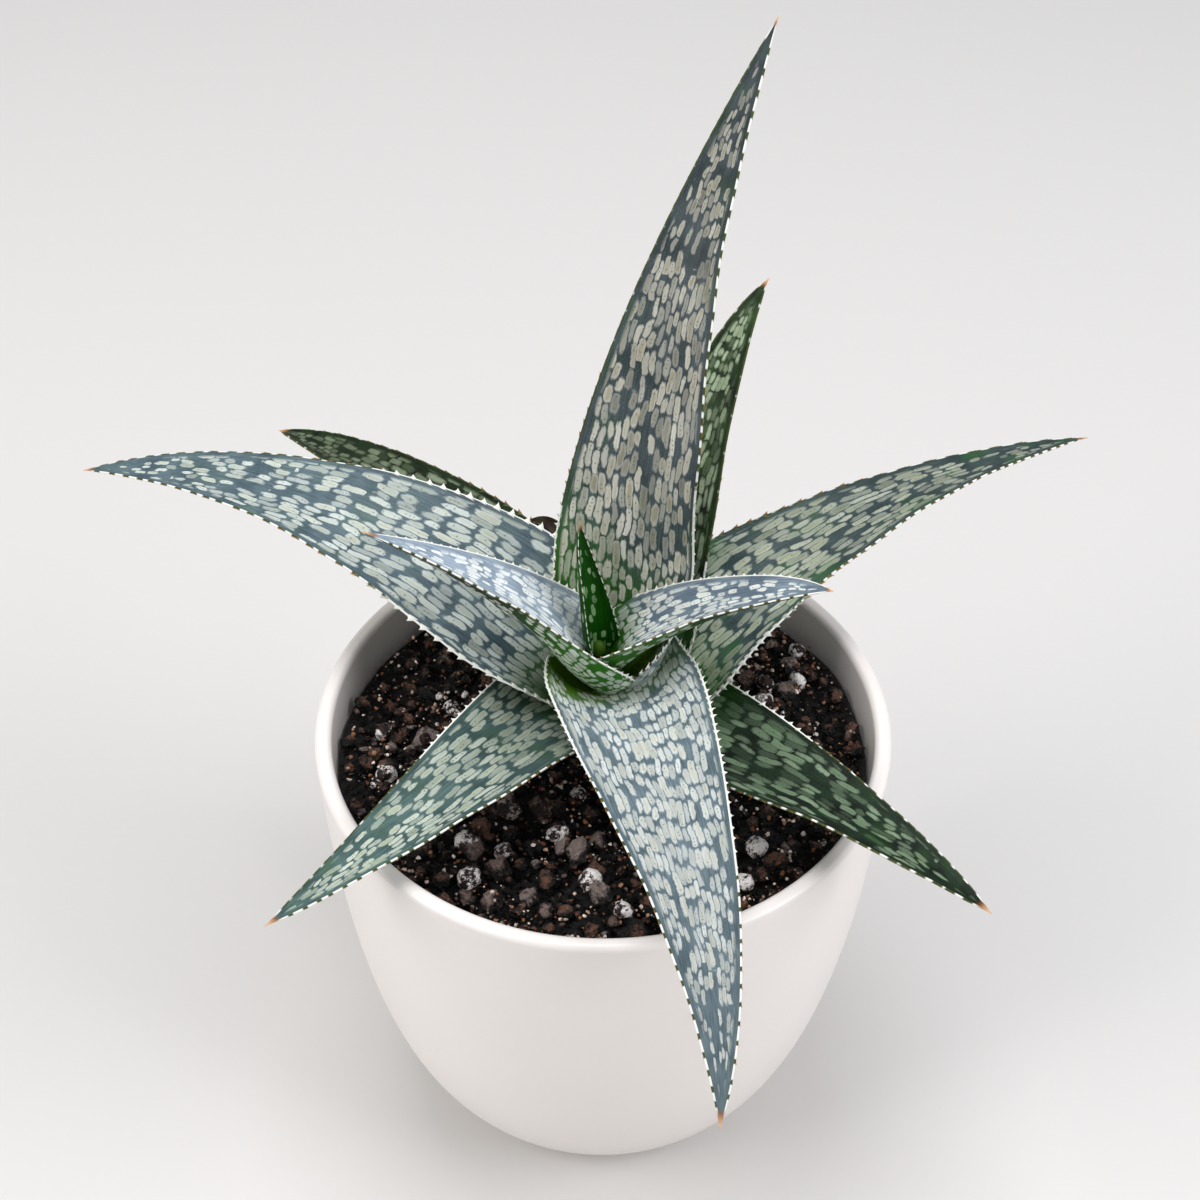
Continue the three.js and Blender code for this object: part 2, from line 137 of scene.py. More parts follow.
LEAVES = [
    dict(USUAL_LEAF, name="leaf_bud", azimuth=134.5, start=(3.5, 112), rise=82, rising=14.5,
         tip=(6.5, 151), dip=105, dipping=11.5, sweep=2.5, half=5.25, clasp=1.5, channel=(1.2, 1.0),
         roll=(2, -1, -2), thick=1.4, look="heart",
         teeth=(1.7, 2.4, 2.4), dashes=(14, 14), tooth=0.35),
    dict(USUAL_LEAF, name="leaf_right_inner", azimuth=-3, start=(0.5, 115), rise=78, rising=13,
         tip=(44.5, 137.5), dip=-18, dipping=11, sweep=0, half=10.5, clasp=1.4, channel=(0.75, 0.35),
         roll=(-13, -3, 6), thick=2.6, look="frost",
         teeth=(2.0, 1.9, 2.5), dashes=(99, 3), tooth=0.9),
    dict(USUAL_LEAF, name="leaf_left_inner", azimuth=184.5, start=(1, 111.5), rise=54, rising=18,
         tip=(49, 151.5), dip=20, dipping=31, sweep=-3, half=12.25, clasp=1.4, channel=(1.1, 0.35),
         roll=(7, 1, -2), thick=3.8, look="bloom",
         teeth=(2.0, 2.5, 1.9), dashes=(14, 99), tooth=0.9),
    dict(USUAL_LEAF, name="leaf_back_tall", azimuth=65, start=(9, 109), rise=90, rising=50,
         tip=(69.5, 229.5), dip=35, dipping=62.5, sweep=-2.5, half=16.5, base=1.0, widest=0.2, taper=1.15,
         clasp=2.8, unroll=0.25, channel=(0.45, 0.35), roll=(-3, -7, 2), look="slate",
         teeth=(2.0, 3.2, 3.8), dashes=(36, 48), worn=(4, 1.8), tooth=0.8, swing=12, young=0.6),
    dict(USUAL_LEAF, name="leaf_front", azimuth=-78.5, start=(3, 108.5), rise=38, rising=26.5,
         tip=(109, 106), dip=-46, dipping=31, bow=4.5, sweep=-2.5, half=17.75, base=0.95, widest=0.12,
         clasp=1.3, unroll=0.4, channel=(0.6, 0.35), roll=(-1, 2, 1), look="silver",
         teeth=(1.7, 3.0, 3.0), dashes=(66, 38), worn=(1, 1.3), tooth=0.95, collar=2.2, young=-0.8,
         crowd=12),
    dict(USUAL_LEAF, name="leaf_left", azimuth=155, start=(8, 108.5), rise=48, rising=44,
         tip=(128.5, 122.5), dip=-23, dipping=38.5, sweep=2.5, half=18, widest=0.18, clasp=1.3,
         unroll=0.3, channel=(0.2, 0.35), roll=(-22, 1, -9), look="blue",
         teeth=(2.7, 4.3, 3.7), dashes=(42, 60), worn=(2.2, 2.6), tooth=1.2),
    dict(USUAL_LEAF, name="leaf_right", azimuth=32, start=(8, 104), rise=47, rising=29.5,
         tip=(126.5, 122.5), dip=-14, dipping=47.5, sweep=-2, half=17, base=0.9, widest=0.14, taper=1.0,
         clasp=0.7, channel=(0.4, 0.35), roll=(15, -7, -3), look="sage",
         teeth=(2.0, 5.8, 3.0), dashes=(28, 34), worn=(4, 1.5), tooth=1.3),
    dict(USUAL_LEAF, name="leaf_front_left", azimuth=-133, start=(7.5, 105), rise=41, rising=18.5,
         tip=(94, 113), dip=5, dipping=34, sweep=-0.5, half=16, base=0.75, channel=(0.6, 0.35),
         roll=(6, 7, -8), look="teal",
         teeth=(1.8, 3.0, 3.0), dashes=(8, 40), worn=(1.2, 3), tooth=0.8),
    dict(USUAL_LEAF, name="leaf_front_right", azimuth=-42.5, start=(8, 102.5), rise=35, rising=22,
         tip=(97.5, 116), dip=-7, dipping=24, sweep=-1.5, half=15, base=0.75, channel=(0.45, 0.35),
         roll=(5, -8, -3), look="green",
         teeth=(2.0, 3.5, 3.1), dashes=(40, 8), worn=(3, 2.4), tooth=0.9),
    dict(USUAL_LEAF, name="leaf_back_right", azimuth=64, start=(9, 102), rise=55, rising=22.5,
         tip=(74.5, 165), dip=3, dipping=29.5, sweep=-1, half=13.5, base=0.7, channel=(0.5, 0.35),
         roll=(-4, -2, 0), look="deep",
         teeth=(2.4, 4.2, 4.2), dashes=(30, 30), worn=(5, 5), tooth=1.0),
    dict(USUAL_LEAF, name="leaf_back_left", azimuth=131.5, start=(8, 101.5), rise=48, rising=40,
         tip=(116.5, 107), dip=-23, dipping=15, sweep=2.5, half=14.5, base=0.7, channel=(0.6, 0.35),
         roll=(-7, 3, 1), look="dusk",
         teeth=(2.4, 4.2, 4.2), dashes=(30, 30), worn=(5, 5), tooth=1.25),
    dict(USUAL_LEAF, name="leaf_withered", azimuth=106.5, start=(8, 101), rise=50, rising=27,
         tip=(39.5, 121.8), dip=-52, dipping=12, bow=2, sweep=8.5, half=3.8, widest=0.2, taper=1.6,
         channel=(0.5, 1.2), roll=(0, -6, -25), thick=1.2, look="dry",
         teeth=(3.0, 5.0, 5.0), dashes=(99, 99), tooth=0.4),
]

# The skins. The upper face has its ground between the spots, in a darker and a lighter tone that change
# slowly at random, and its spots, pale with a warmer middle; the underside has one colour of each. A pair
# of numbers gives the upper face first. green shows at the base, up to reach millimetres, and in blotches
# as strong as blotch. cover is the share of places that bear a spot, thin how much less it is at the tip,
# dim how much the weakest spots fade, soft how blurred their edges are, cell a spot's room across and along
# in millimetres, fine how many times smaller that is on the underside, and bare how much of the base has
# no spots. near and far are painted light and shade: how much brighter or darker the base and the tip are
# painted. The margin has the colour root at the base and rim beyond pale millimetres, dry is the length of
# the dry point against the usual one, and shine how strongly the wax reflects.
USUAL_SKIN = dict(blotch=0.0, thin=0.42, soft=0.6, fine=1.0, near=1.0, far=1.0, root="eeeee6", pale=22,
                  rim="eeeee6", dry=1.0, shine=0.26)
LOOKS = {
    "heart": dict(USUAL_SKIN, ground=("031400", "0e3a06"), spot=("b4d4a4", "84b870"), green="0f4404",
                  reach=(30, 30), under=("0c2e06", "a4c498"), cover=(0.68, 0.7), dim=0.65,
                  cell=(1.2, 3.6), fine=1.2, bare=1, root="2c5418", shine=0.12),
    "bloom": dict(USUAL_SKIN, ground=("8494a4", "9aaab8"), spot=("eef3f4", "e0e4e0"), green="276410",
                  reach=(4, 14), under=("2c3a2c", "d4dccc"), cover=(1.02, 0.84), dim=0.3, cell=(1.5, 4.2),
                  fine=1.4, bare=2),
    "frost": dict(USUAL_SKIN, ground=("5a6a78", "70808c"), spot=("dfe4e1", "cccec0"), green="2a6210",
                  reach=(5, 12), under=("344a34", "c8d4c4"), cover=(1.0, 0.74), dim=0.35, cell=(1.5, 3.7),
                  fine=1.2, bare=3.4, dry=0.5),
    "slate": dict(USUAL_SKIN, ground=("343f42", "4a565a"), spot=("cccbbf", "958d70"), green="2a541a",
                  blotch=0.3, reach=(13, 0.5), under=("5c6e74", "cdd4d2"), cover=(0.94, 0.8), dim=0.6,
                  cell=(1.7, 6.0), fine=1.3, bare=6, near=1.3, far=0.66, root="5c3a22", pale=26, dry=0.7),
    "silver": dict(USUAL_SKIN, ground=("566870", "6a7c84"), spot=("d8dedc", "c6c6b4"), green="4f761c",
                   blotch=0.1, reach=(4, 10), under=("50645c", "b4c2b4"), cover=(0.97, 0.9), dim=0.35,
                   cell=(1.5, 6.2), bare=2, far=0.72),
    "blue": dict(USUAL_SKIN, ground=("42545c", "586a72"), spot=("c8d1cc", "b0b4a0"), green="4c6b46",
                 blotch=0.3, reach=(6, 10), under=("2c3c34", "c8ccc4"), cover=(0.83, 0.86), dim=0.5,
                 cell=(1.85, 6.2), fine=0.8, bare=5, far=1.1, root="e4e4dc"),
    "sage": dict(USUAL_SKIN, ground=("344446", "475757"), spot=("bcc2b3", "98a07c"), green="2a6a1c",
                 blotch=0.6, reach=(8, 16), under=("405048", "b8b8c0"), cover=(0.92, 0.9), dim=0.5,
                 soft=0.65, cell=(1.8, 6.6), fine=0.8, bare=4, near=1.5, far=0.74, root="e4e4dc"),
    "teal": dict(USUAL_SKIN, ground=("38504e", "4c6664"), spot=("c4cec2", "a4ae92"), green="3a5c30",
                 blotch=0.4, reach=(6, 16), under=("24402c", "7c9474"), cover=(0.82, 0.8), thin=0.05,
                 dim=0.5, cell=(1.65, 6.0), bare=4, near=0.62, root="d8dccc"),
    "green": dict(USUAL_SKIN, ground=("0a150c", "1a2e1e"), spot=("8a9f84", "5e7c58"), green="244c1a",
                  blotch=0.5, reach=(10, 16), under=("1c3420", "6c8a64"), cover=(0.93, 0.76), dim=0.92,
                  soft=1.0, cell=(1.65, 6.6), bare=3, near=0.85, far=0.82, root="b8c4a4", shine=0.2),
    "deep": dict(USUAL_SKIN, ground=("101c0c", "263a20"), spot=("a4b496", "7c8e6a"), green="2c5420",
                 blotch=0.6, reach=(10, 20), under=("1c3420", "607c58"), cover=(1.0, 0.8), thin=0.15,
                 dim=0.9, soft=1.1, cell=(1.7, 5.0), bare=5, root="b8c4a4", shine=0.18),
    "dry": dict(USUAL_SKIN, ground=("241810", "3c2a1c"), spot=("5c4632", "4a3424"), green="26401a",
                blotch=0.9, reach=(8, 8), under=("241810", "4a3424"), cover=(0.5, 0.5), dim=0.6,
                cell=(1.6, 5.0), bare=3, root="3c2a1c", rim="4a3420"),
}
# The back left leaf's skin: the deep one with fewer, larger and softer spots, and both ends painted darker
# as painted shade
LOOKS["dusk"] = dict(LOOKS["deep"], cover=(0.85, 0.8), cell=(2.3, 6.0), soft=1.3, near=0.55, far=0.58)

# The camera, as worked out from the ellipse of the rim and the outline of the foot
FIELD_OF_VIEW = math.radians(30)
LOOKING_DOWN = math.radians(43.3)
CAMERA_TURN = math.radians(0.29)
CAMERA_PLACE = Vector((-0.0008, -0.3227, 0.4442))

# The middle value of a noise texture's colour
HALF = (0.5, 0.5, 0.5)


# Shared helpers


def linear(code):
    """A colour given as an sRGB hex value, as Blender's shaders count it."""
    parts = [int(code[i:i + 2], 16) / 255 for i in (0, 2, 4)]
    return tuple(c / 12.92 if c <= 0.04045 else ((c + 0.055) / 1.055) ** 2.4 for c in parts) + (1.0,)


def plug(tree, value, socket):
    """Links a node's shown output or an output socket to the socket, or sets a constant on it."""
    if isinstance(value, bpy.types.Node):
        value = next(s for s in value.outputs if s.enabled)
    if isinstance(value, bpy.types.NodeSocket):
        tree.links.new(value, socket)
    elif value is not None:
        socket.default_value = value


def add(tree, kind, *values, ins=None, **settings):
    """Adds a node with its settings. Values go to its shown inputs in order, ins by name or place."""
    node = tree.nodes.new(kind)
    for name, value in settings.items():
        setattr(node, name, value)
    shown = [s for s in node.inputs if s.enabled]
    wanted = [(shown[i], v) for i, v in enumerate(values)]
    wanted += [(node.inputs[k], v) for k, v in (ins or {}).items()]
    for socket, value in wanted:
        plug(tree, value, socket)
    return node


def feed(tree, shader, **sources):
    """Links nodes to the shader's sockets, given by name."""
    for socket, source in sources.items():
        plug(tree, source, shader.inputs[socket.replace("_", " ")])


def new_material(name, **constants):
    """A material with one Principled shader, whose constant values are set on its own sockets."""
    material = bpy.data.materials.new(name)
    material.use_nodes = True
    tree = material.node_tree
    tree.nodes.clear()
    shader = tree.nodes.new("ShaderNodeBsdfPrincipled")
    for socket, value in constants.items():
        shader.inputs[socket.replace("_", " ")].default_value = value
    output = tree.nodes.new("ShaderNodeOutputMaterial")
    tree.links.new(shader.outputs[0], output.inputs[0])
    return material, tree, shader


def new_piece(name, verts, faces, material, smooth=True):
    """An object at the origin whose place, in metres, is in its mesh."""
    mesh = bpy.data.meshes.new(name)
    mesh.from_pydata([tuple(p) for p in verts], [], faces)
    mesh.materials.append(material)
    mesh.polygons.foreach_set("use_smooth", [smooth] * len(mesh.polygons))
    piece = bpy.data.objects.new(name, mesh)
    bpy.context.scene.collection.objects.link(piece)
    return piece


def give(piece, slot, *nodes):
    """Rides the piece on the one body and hides the solids that it stands for. slot is not used."""
    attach(piece, "root")
    if nodes:
        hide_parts(*nodes)


def attribute(mesh, name, values, kind="FLOAT"):
    """Stores a value for each vertex."""
    layer = mesh.attributes.new(name, kind, "POINT")
    key = "vector" if kind == "FLOAT_VECTOR" else "value"
    layer.data.foreach_set(key, np.asarray(values, np.float32).ravel())


def baked(piece):
    """Turns the piece's Geometry Nodes result into its plain mesh."""
    graph = bpy.context.evaluated_depsgraph_get()
    graph.update()
    mesh = bpy.data.meshes.new_from_object(piece.evaluated_get(graph))
    piece.modifiers.clear()
    old, piece.data = piece.data, mesh
    bpy.data.meshes.remove(old)
    mesh.name = piece.name
    return piece


def with_nodes(piece, tree, **inputs):
    """Runs a Geometry Nodes tree on the piece, with its inputs given by name."""
    modifier = piece.modifiers.new(tree.name, "NODES")
    modifier.node_group = tree
    sockets = {s.name: s.identifier for s in tree.interface.items_tree if s.in_out == "INPUT"}
    for name, value in inputs.items():
        modifier[sockets[name.replace("_", " ")]] = value
    return baked(piece)


def new_tree(name, **inputs):
    """An empty Geometry Nodes tree with named inputs; returns it with its input and output nodes."""
    tree = bpy.data.node_groups.new(name, "GeometryNodeTree")
    tree.interface.new_socket("Geometry", in_out="INPUT", socket_type="NodeSocketGeometry")
    for label, (kind, default) in inputs.items():
        socket = tree.interface.new_socket(label.replace("_", " "), in_out="INPUT", socket_type=kind)
        if default is not None:
            socket.default_value = default
    tree.interface.new_socket("Geometry", in_out="OUTPUT", socket_type="NodeSocketGeometry")
    return tree, tree.nodes.new("NodeGroupInput"), tree.nodes.new("NodeGroupOutput")


# Materials


def spotting_group():
    """The aloe's spots: rounded lozenges in columns along the leaf, each column about half a step past the
    last but wandering, so that the ground between them makes uneven zigzags. Across and Along are
    millimetres on the skin. Core is 0 in the middle of a spot and 1 at its edge."""
    tree = bpy.data.node_groups.new("spotting", "ShaderNodeTree")
    for label in ("Across", "Along", "Seed", "Cover", "Column", "Pitch", "Soft"):
        tree.interface.new_socket(label, in_out="INPUT", socket_type="NodeSocketFloat")
    for label in ("Mask", "Core", "Tint", "Fade", "Pores"):
        tree.interface.new_socket(label, in_out="OUTPUT", socket_type="NodeSocketFloat")
    given = tree.nodes.new("NodeGroupInput")
    result = tree.nodes.new("NodeGroupOutput")
    across, along, seed, cover, column, pitch, soft = given.outputs[:7]
    # A slow warp bends the columns, a middling one the spots, and a fine one makes the outlines ragged
    place = add(tree, "ShaderNodeCombineXYZ", across, along, seed)
    moved = place
    for scale, reach in ((0.11, (2.2, 3.0, 0.0)), (0.36, (0.55, 1.5, 0.0)), (1.1, (0.34, 0.8, 0.0))):
        warp = add(tree, "ShaderNodeTexNoise", place, ins={"Scale": scale, "Detail": 0.0})
        warp = add(tree, "ShaderNodeVectorMath", warp.outputs["Color"], HALF, operation="SUBTRACT")
        warp = add(tree, "ShaderNodeVectorMath", warp, reach, operation="MULTIPLY")
        moved = add(tree, "ShaderNodeVectorMath", moved, warp, operation="ADD")
    parts = add(tree, "ShaderNodeSeparateXYZ", moved)
    # Which column, and how far beside its middle
    over = add(tree, "ShaderNodeMath", parts.outputs[0], column, operation="DIVIDE")
    which = add(tree, "ShaderNodeMath", over, operation="FLOOR")
    beside = add(tree, "ShaderNodeMath", over, which, operation="SUBTRACT")
    beside = add(tree, "ShaderNodeMath", beside, 0.5, operation="SUBTRACT")
    # Where the column's row of spots starts: it wanders from column to column
    lane = add(tree, "ShaderNodeCombineXYZ", which, seed, 0.0)
    jump = add(tree, "ShaderNodeTexWhiteNoise", lane, noise_dimensions="2D")
    lane_x = add(tree, "ShaderNodeMath", which, 0.37, operation="MULTIPLY")
    lane_y = add(tree, "ShaderNodeMath", along, 0.022, operation="MULTIPLY")
    lane = add(tree, "ShaderNodeCombineXYZ", lane_x, lane_y, seed)
    drift = add(tree, "ShaderNodeTexNoise", lane, ins={"Scale": 1.0, "Detail": 0.0})
    start = add(tree, "ShaderNodeMath", drift, 1.6, operation="MULTIPLY")
    start = add(tree, "ShaderNodeMath", jump, 0.6, start, operation="MULTIPLY_ADD")
    start = add(tree, "ShaderNodeMath", which, 0.42, start, operation="MULTIPLY_ADD")
    steps = add(tree, "ShaderNodeMath", parts.outputs[1], pitch, operation="DIVIDE")
    steps = add(tree, "ShaderNodeMath", steps, start, operation="ADD")
    row = add(tree, "ShaderNodeMath", steps, operation="FLOOR")
    past = add(tree, "ShaderNodeMath", steps, row, operation="SUBTRACT")
    # Each spot's own length, breadth and slip, as shares of its room
    cell = add(tree, "ShaderNodeCombineXYZ", which, row, seed)
    dice = add(tree, "ShaderNodeTexWhiteNoise", cell, noise_dimensions="3D")
    rolls = add(tree, "ShaderNodeSeparateColor", dice.outputs["Color"])
    long = add(tree, "ShaderNodeMath", rolls.outputs[0], 0.26, 0.03, operation="MULTIPLY_ADD")
    wide = add(tree, "ShaderNodeMath", rolls.outputs[1], 0.18, 0.385, operation="MULTIPLY_ADD")
    slip = add(tree, "ShaderNodeMath", rolls.outputs[2], 0.16, -0.58, operation="MULTIPLY_ADD")
    past = add(tree, "ShaderNodeMath", past, slip, operation="ADD")
    # How far out in the spot: straight flanks, round ends, and an outline frayed along the fibres
    x = add(tree, "ShaderNodeMath", beside, wide, operation="DIVIDE")
    x = add(tree, "ShaderNodeMath", x, operation="ABSOLUTE")
    x = add(tree, "ShaderNodeMath", x, 2.2, operation="POWER")
    y = add(tree, "ShaderNodeMath", past, operation="ABSOLUTE")
    y = add(tree, "ShaderNodeMath", y, long, operation="SUBTRACT")
    y = add(tree, "ShaderNodeMath", y, 0.0, operation="MAXIMUM")
    y = add(tree, "ShaderNodeMath", y, 0.3, operation="DIVIDE")
    y = add(tree, "ShaderNodeMath", y, 2.0, operation="POWER")
    core = add(tree, "ShaderNodeMath", x, y, operation="ADD")
    grain = add(tree, "ShaderNodeVectorMath", place, (5.0, 0.35, 1.0), operation="MULTIPLY")
    grain = add(tree, "ShaderNodeTexNoise", grain, ins={"Scale": 1.0, "Detail": 1.0})
    grain = add(tree, "ShaderNodeMath", grain, 1.3, -0.65, operation="MULTIPLY_ADD")
    core = add(tree, "ShaderNodeMath", core, grain, operation="ADD")
    outer = add(tree, "ShaderNodeMath", soft, 0.7, 1.0, operation="MULTIPLY_ADD")
    inner = add(tree, "ShaderNodeMath", 1.0, soft, operation="SUBTRACT")
    inside = add(tree, "ShaderNodeMapRange", core, outer, inner, 0.0, 1.0, interpolation_type="SMOOTHSTEP")
    # A spot is there if its throw is under the cover that the wide bands leave
    middle = add(tree, "ShaderNodeVectorMath", cell, (0.17, 0.6, 1.0), operation="MULTIPLY")
    bands = add(tree, "ShaderNodeTexNoise", middle, ins={"Scale": 1.0, "Detail": 1.0})
    room = add(tree, "ShaderNodeMath", bands, 1.2, -0.6, operation="MULTIPLY_ADD")
    room = add(tree, "ShaderNodeMath", room, cover, operation="ADD")
    there = add(tree, "ShaderNodeMath", dice.outputs["Value"], room, operation="LESS_THAN")
    mask = add(tree, "ShaderNodeMath", inside, 1.3, operation="POWER")
    mask = add(tree, "ShaderNodeMath", mask, there, operation="MULTIPLY")
    # Pores along a spot's middle, at least 0.9 mm apart
    ticks = add(tree, "ShaderNodeMath", along, 1.1, operation="MULTIPLY")
    tick = add(tree, "ShaderNodeMath", ticks, operation="FLOOR")
    near = add(tree, "ShaderNodeMath", ticks, tick, operation="SUBTRACT")
    near = add(tree, "ShaderNodeMath", near, 0.5, operation="SUBTRACT")
    wide_mm = add(tree, "ShaderNodeMath", beside, 1.8, operation="MULTIPLY")
    pore = add(tree, "ShaderNodeCombineXYZ", near, wide_mm, 0.0)
    pore = add(tree, "ShaderNodeVectorMath", pore, operation="LENGTH")
    pore = add(tree, "ShaderNodeMapRange", pore.outputs["Value"], 0.27, 0.12, 0.0, 1.0)
    chance = add(tree, "ShaderNodeCombineXYZ", which, tick, 3.0)
    chance = add(tree, "ShaderNodeTexWhiteNoise", chance, noise_dimensions="3D")
    chance = add(tree, "ShaderNodeMath", chance, 0.7, operation="GREATER_THAN")
    pore = add(tree, "ShaderNodeMath", pore, chance, operation="MULTIPLY")
    for value, socket in zip((mask, core, rolls.outputs[1], rolls.outputs[2], pore), result.inputs):
        plug(tree, value, socket)
    return tree


def skin_marks(tree):
    """What the shader reads at a place of the skin, in millimetres: how far across and along it lies, how
    far from the edge, the tip and the base, how near to a tooth, and whether it is on the underside."""
    where = add(tree, "ShaderNodeSeparateXYZ", add(tree, "ShaderNodeUVMap", uv_map="skin"))
    marks = {label: add(tree, "ShaderNodeAttribute", attribute_name=label).outputs["Fac"]
             for label in ("edge", "tip", "under", "gap", "rise")}
    below = add(tree, "ShaderNodeMath", marks["under"], 0.5, operation="GREATER_THAN")
    return SimpleNamespace(across=where.outputs[0], along=where.outputs[1], below=below, **marks)


def by_face(tree, at, pair):
    """The first number of the pair on the upper face and the second on the underside."""
    upper, under = pair
    return add(tree, "ShaderNodeMath", at.below, under - upper, upper, operation="MULTIPLY_ADD")


def leaf_spots(tree, at, look, spots):
    """Where the skin has spots: they thin out towards the tip and are of another size on the underside."""
    fade = add(tree, "ShaderNodeMapRange", at.tip, 3.0, 60.0, look["thin"], 0.0)
    room = add(tree, "ShaderNodeMath", by_face(tree, at, look["cover"]), fade, operation="SUBTRACT")
    finer = by_face(tree, at, (1.0, look["fine"]))
    across_column, along_column = look["cell"]
    group = add(tree, "ShaderNodeGroup", node_tree=spots, ins={
        "Across": add(tree, "ShaderNodeMath", at.across, finer, operation="MULTIPLY"),
        "Along": add(tree, "ShaderNodeMath", at.along, finer, operation="MULTIPLY"),
        "Cover": room, "Seed": 3.0, "Column": across_column, "Pitch": along_column, "Soft": look["soft"]})
    return group.outputs[:5]


def leaf_ground(tree, at, look):
    """The skin between the spots. Returns its colour, how green it is and its veins."""
    # A slow change of tone, fine lengthwise veins about 0.4 mm apart and a stipple of wax
    place = add(tree, "ShaderNodeCombineXYZ", at.across, at.along, 0.0)
    slow = add(tree, "ShaderNodeTexNoise", place, ins={"Scale": 0.1, "Detail": 2.0})
    veins = add(tree, "ShaderNodeVectorMath", place, (3.2, 0.12, 1.0), operation="MULTIPLY")
    veins = add(tree, "ShaderNodeTexNoise", veins, ins={"Scale": 1.0, "Detail": 2.0})
    wax = add(tree, "ShaderNodeTexNoise", place, ins={"Scale": 3.2, "Detail": 2.0, "Roughness": 0.7})
    tone = add(tree, "ShaderNodeMapRange", slow, 0.36, 0.62, 0.0, 1.0)
    upper = add(tree, "ShaderNodeMix", tone, *(linear(c) for c in look["ground"]), data_type="RGBA")
    ground = add(tree, "ShaderNodeMix", at.below, upper, linear(look["under"][0]), data_type="RGBA")
    stipple = add(tree, "ShaderNodeMapRange", wax, 0.58, 0.72, 0.0, 0.22)
    ground = add(tree, "ShaderNodeMix", stipple, ground, linear(look["spot"][0]), data_type="RGBA")
    # Green of the young base, as far up as each face has it, and green blotches
    share = add(tree, "ShaderNodeMath", at.rise, by_face(tree, at, look["reach"]), operation="DIVIDE")
    low = add(tree, "ShaderNodeMapRange", share, 1.0, 2.6, 1.0, 0.0, interpolation_type="SMOOTHSTEP")
    blotch = add(tree, "ShaderNodeMapRange", slow.outputs["Color"], 0.52, 0.68, 0.0, look["blotch"])
    green = add(tree, "ShaderNodeMath", low, blotch, operation="MAXIMUM")
    ground = add(tree, "ShaderNodeMix", green, ground, linear(look["green"]), data_type="RGBA")
    return ground, green, veins


def leaf_spot_colour(tree, at, look, core, tint, pores, green):
    """A spot: a pale rim, a warmer middle with dark pores, and a little green near the base."""
    warm = add(tree, "ShaderNodeMapRange", core, 0.05, 0.75, 0.85, 0.0)
    warm = add(tree, "ShaderNodeMath", warm, tint, operation="MULTIPLY")
    pale, middle = (linear(c) for c in look["spot"])
    spot = add(tree, "ShaderNodeMix", at.below, pale, linear(look["under"][1]), data_type="RGBA")
    spot = add(tree, "ShaderNodeMix", warm, spot, middle, data_type="RGBA")
    greening = add(tree, "ShaderNodeMath", green, 0.22, operation="MULTIPLY")
    spot = add(tree, "ShaderNodeMix", greening, spot, linear(look["green"]), data_type="RGBA")
    ink = add(tree, "ShaderNodeMath", pores, 0.6, operation="MULTIPLY")
    return add(tree, "ShaderNodeMix", ink, spot, linear("4c4a30"), data_type="RGBA")


def leaf_kept_clear(tree, at, look, mask):
    """Takes the spots away close to the edge and on the bare base of the upper face."""
    beside = add(tree, "ShaderNodeMath", at.below, 0.6, at.edge, operation="MULTIPLY_ADD")
    clear = add(tree, "ShaderNodeMapRange", beside, 0.8, 1.5, 0.0, 1.0)
    mask = add(tree, "ShaderNodeMath", mask, clear, operation="MULTIPLY")
    raised = add(tree, "ShaderNodeMapRange", at.rise, 0.05, 0.6, 0.0, 20.0)
    raised = add(tree, "ShaderNodeMath", at.below, raised, at.rise, operation="MULTIPLY_ADD")
    grown = add(tree, "ShaderNodeMapRange", raised, 0.5 * look["bare"], 1.6 * look["bare"], 0.0, 1.0)
    return add(tree, "ShaderNodeMath", mask, grown, operation="MULTIPLY")


def leaf_light(tree, at, look, mask, veins):
    """How bright the skin is: its veins show least in the spots, and its two ends are painted brighter or
    darker, as painted light and shade.
    """
    deep = add(tree, "ShaderNodeMapRange", mask, 0.0, 1.0, 0.42, 0.2)
    light = add(tree, "ShaderNodeMapRange", veins, 0.25, 0.75, -1.0, 1.0)
    light = add(tree, "ShaderNodeMath", light, deep, 1.0, operation="MULTIPLY_ADD")
    # far paints the tip and near the base brighter or darker: painted light and painted shade
    outward = add(tree, "ShaderNodeMapRange", at.tip, 25.0, 95.0, look["far"], 1.0)
    light = add(tree, "ShaderNodeMath", light, outward, operation="MULTIPLY")
    inward = add(tree, "ShaderNodeMapRange", at.rise, 14.0, 55.0, look["near"], 1.0)
    return add(tree, "ShaderNodeMath", light, inward, operation="MULTIPLY")


def leaf_margin(tree, at, look, colour):
    """The margin: white horn, with an olive gap at each tooth beyond the base."""
    horn = add(tree, "ShaderNodeMapRange", at.edge, 0.14, 0.04, 0.0, 1.0)
    broken = add(tree, "ShaderNodeMapRange", at.gap, 0.52, 0.34, 0.0, 1.0)
    pale = look["pale"]
    outer = add(tree, "ShaderNodeMapRange", at.rise, 0.55 * pale, pale, 0.0, 1.0)
    # Where the horn first turns white it does so in dashes 2 mm apart
    dash = add(tree, "ShaderNodeMath", at.along, 1.0, operation="PINGPONG")
    dash = add(tree, "ShaderNodeMapRange", dash, 0.36, 0.5, 0.0, 1.0)
    begun = add(tree, "ShaderNodeMapRange", at.rise, 0.25 * pale, 0.35 * pale, 0.0, 1.0)
    dash = add(tree, "ShaderNodeMath", dash, begun, operation="MULTIPLY")
    outer = add(tree, "ShaderNodeMath", outer, dash, operation="MAXIMUM")
    white = add(tree, "ShaderNodeMix", outer, linear(look["root"]), linear(look["rim"]), data_type="RGBA")
    margin = add(tree, "ShaderNodeMix", broken, white, linear("3c4a20"), data_type="RGBA")
    return add(tree, "ShaderNodeMix", horn, colour, margin, data_type="RGBA")


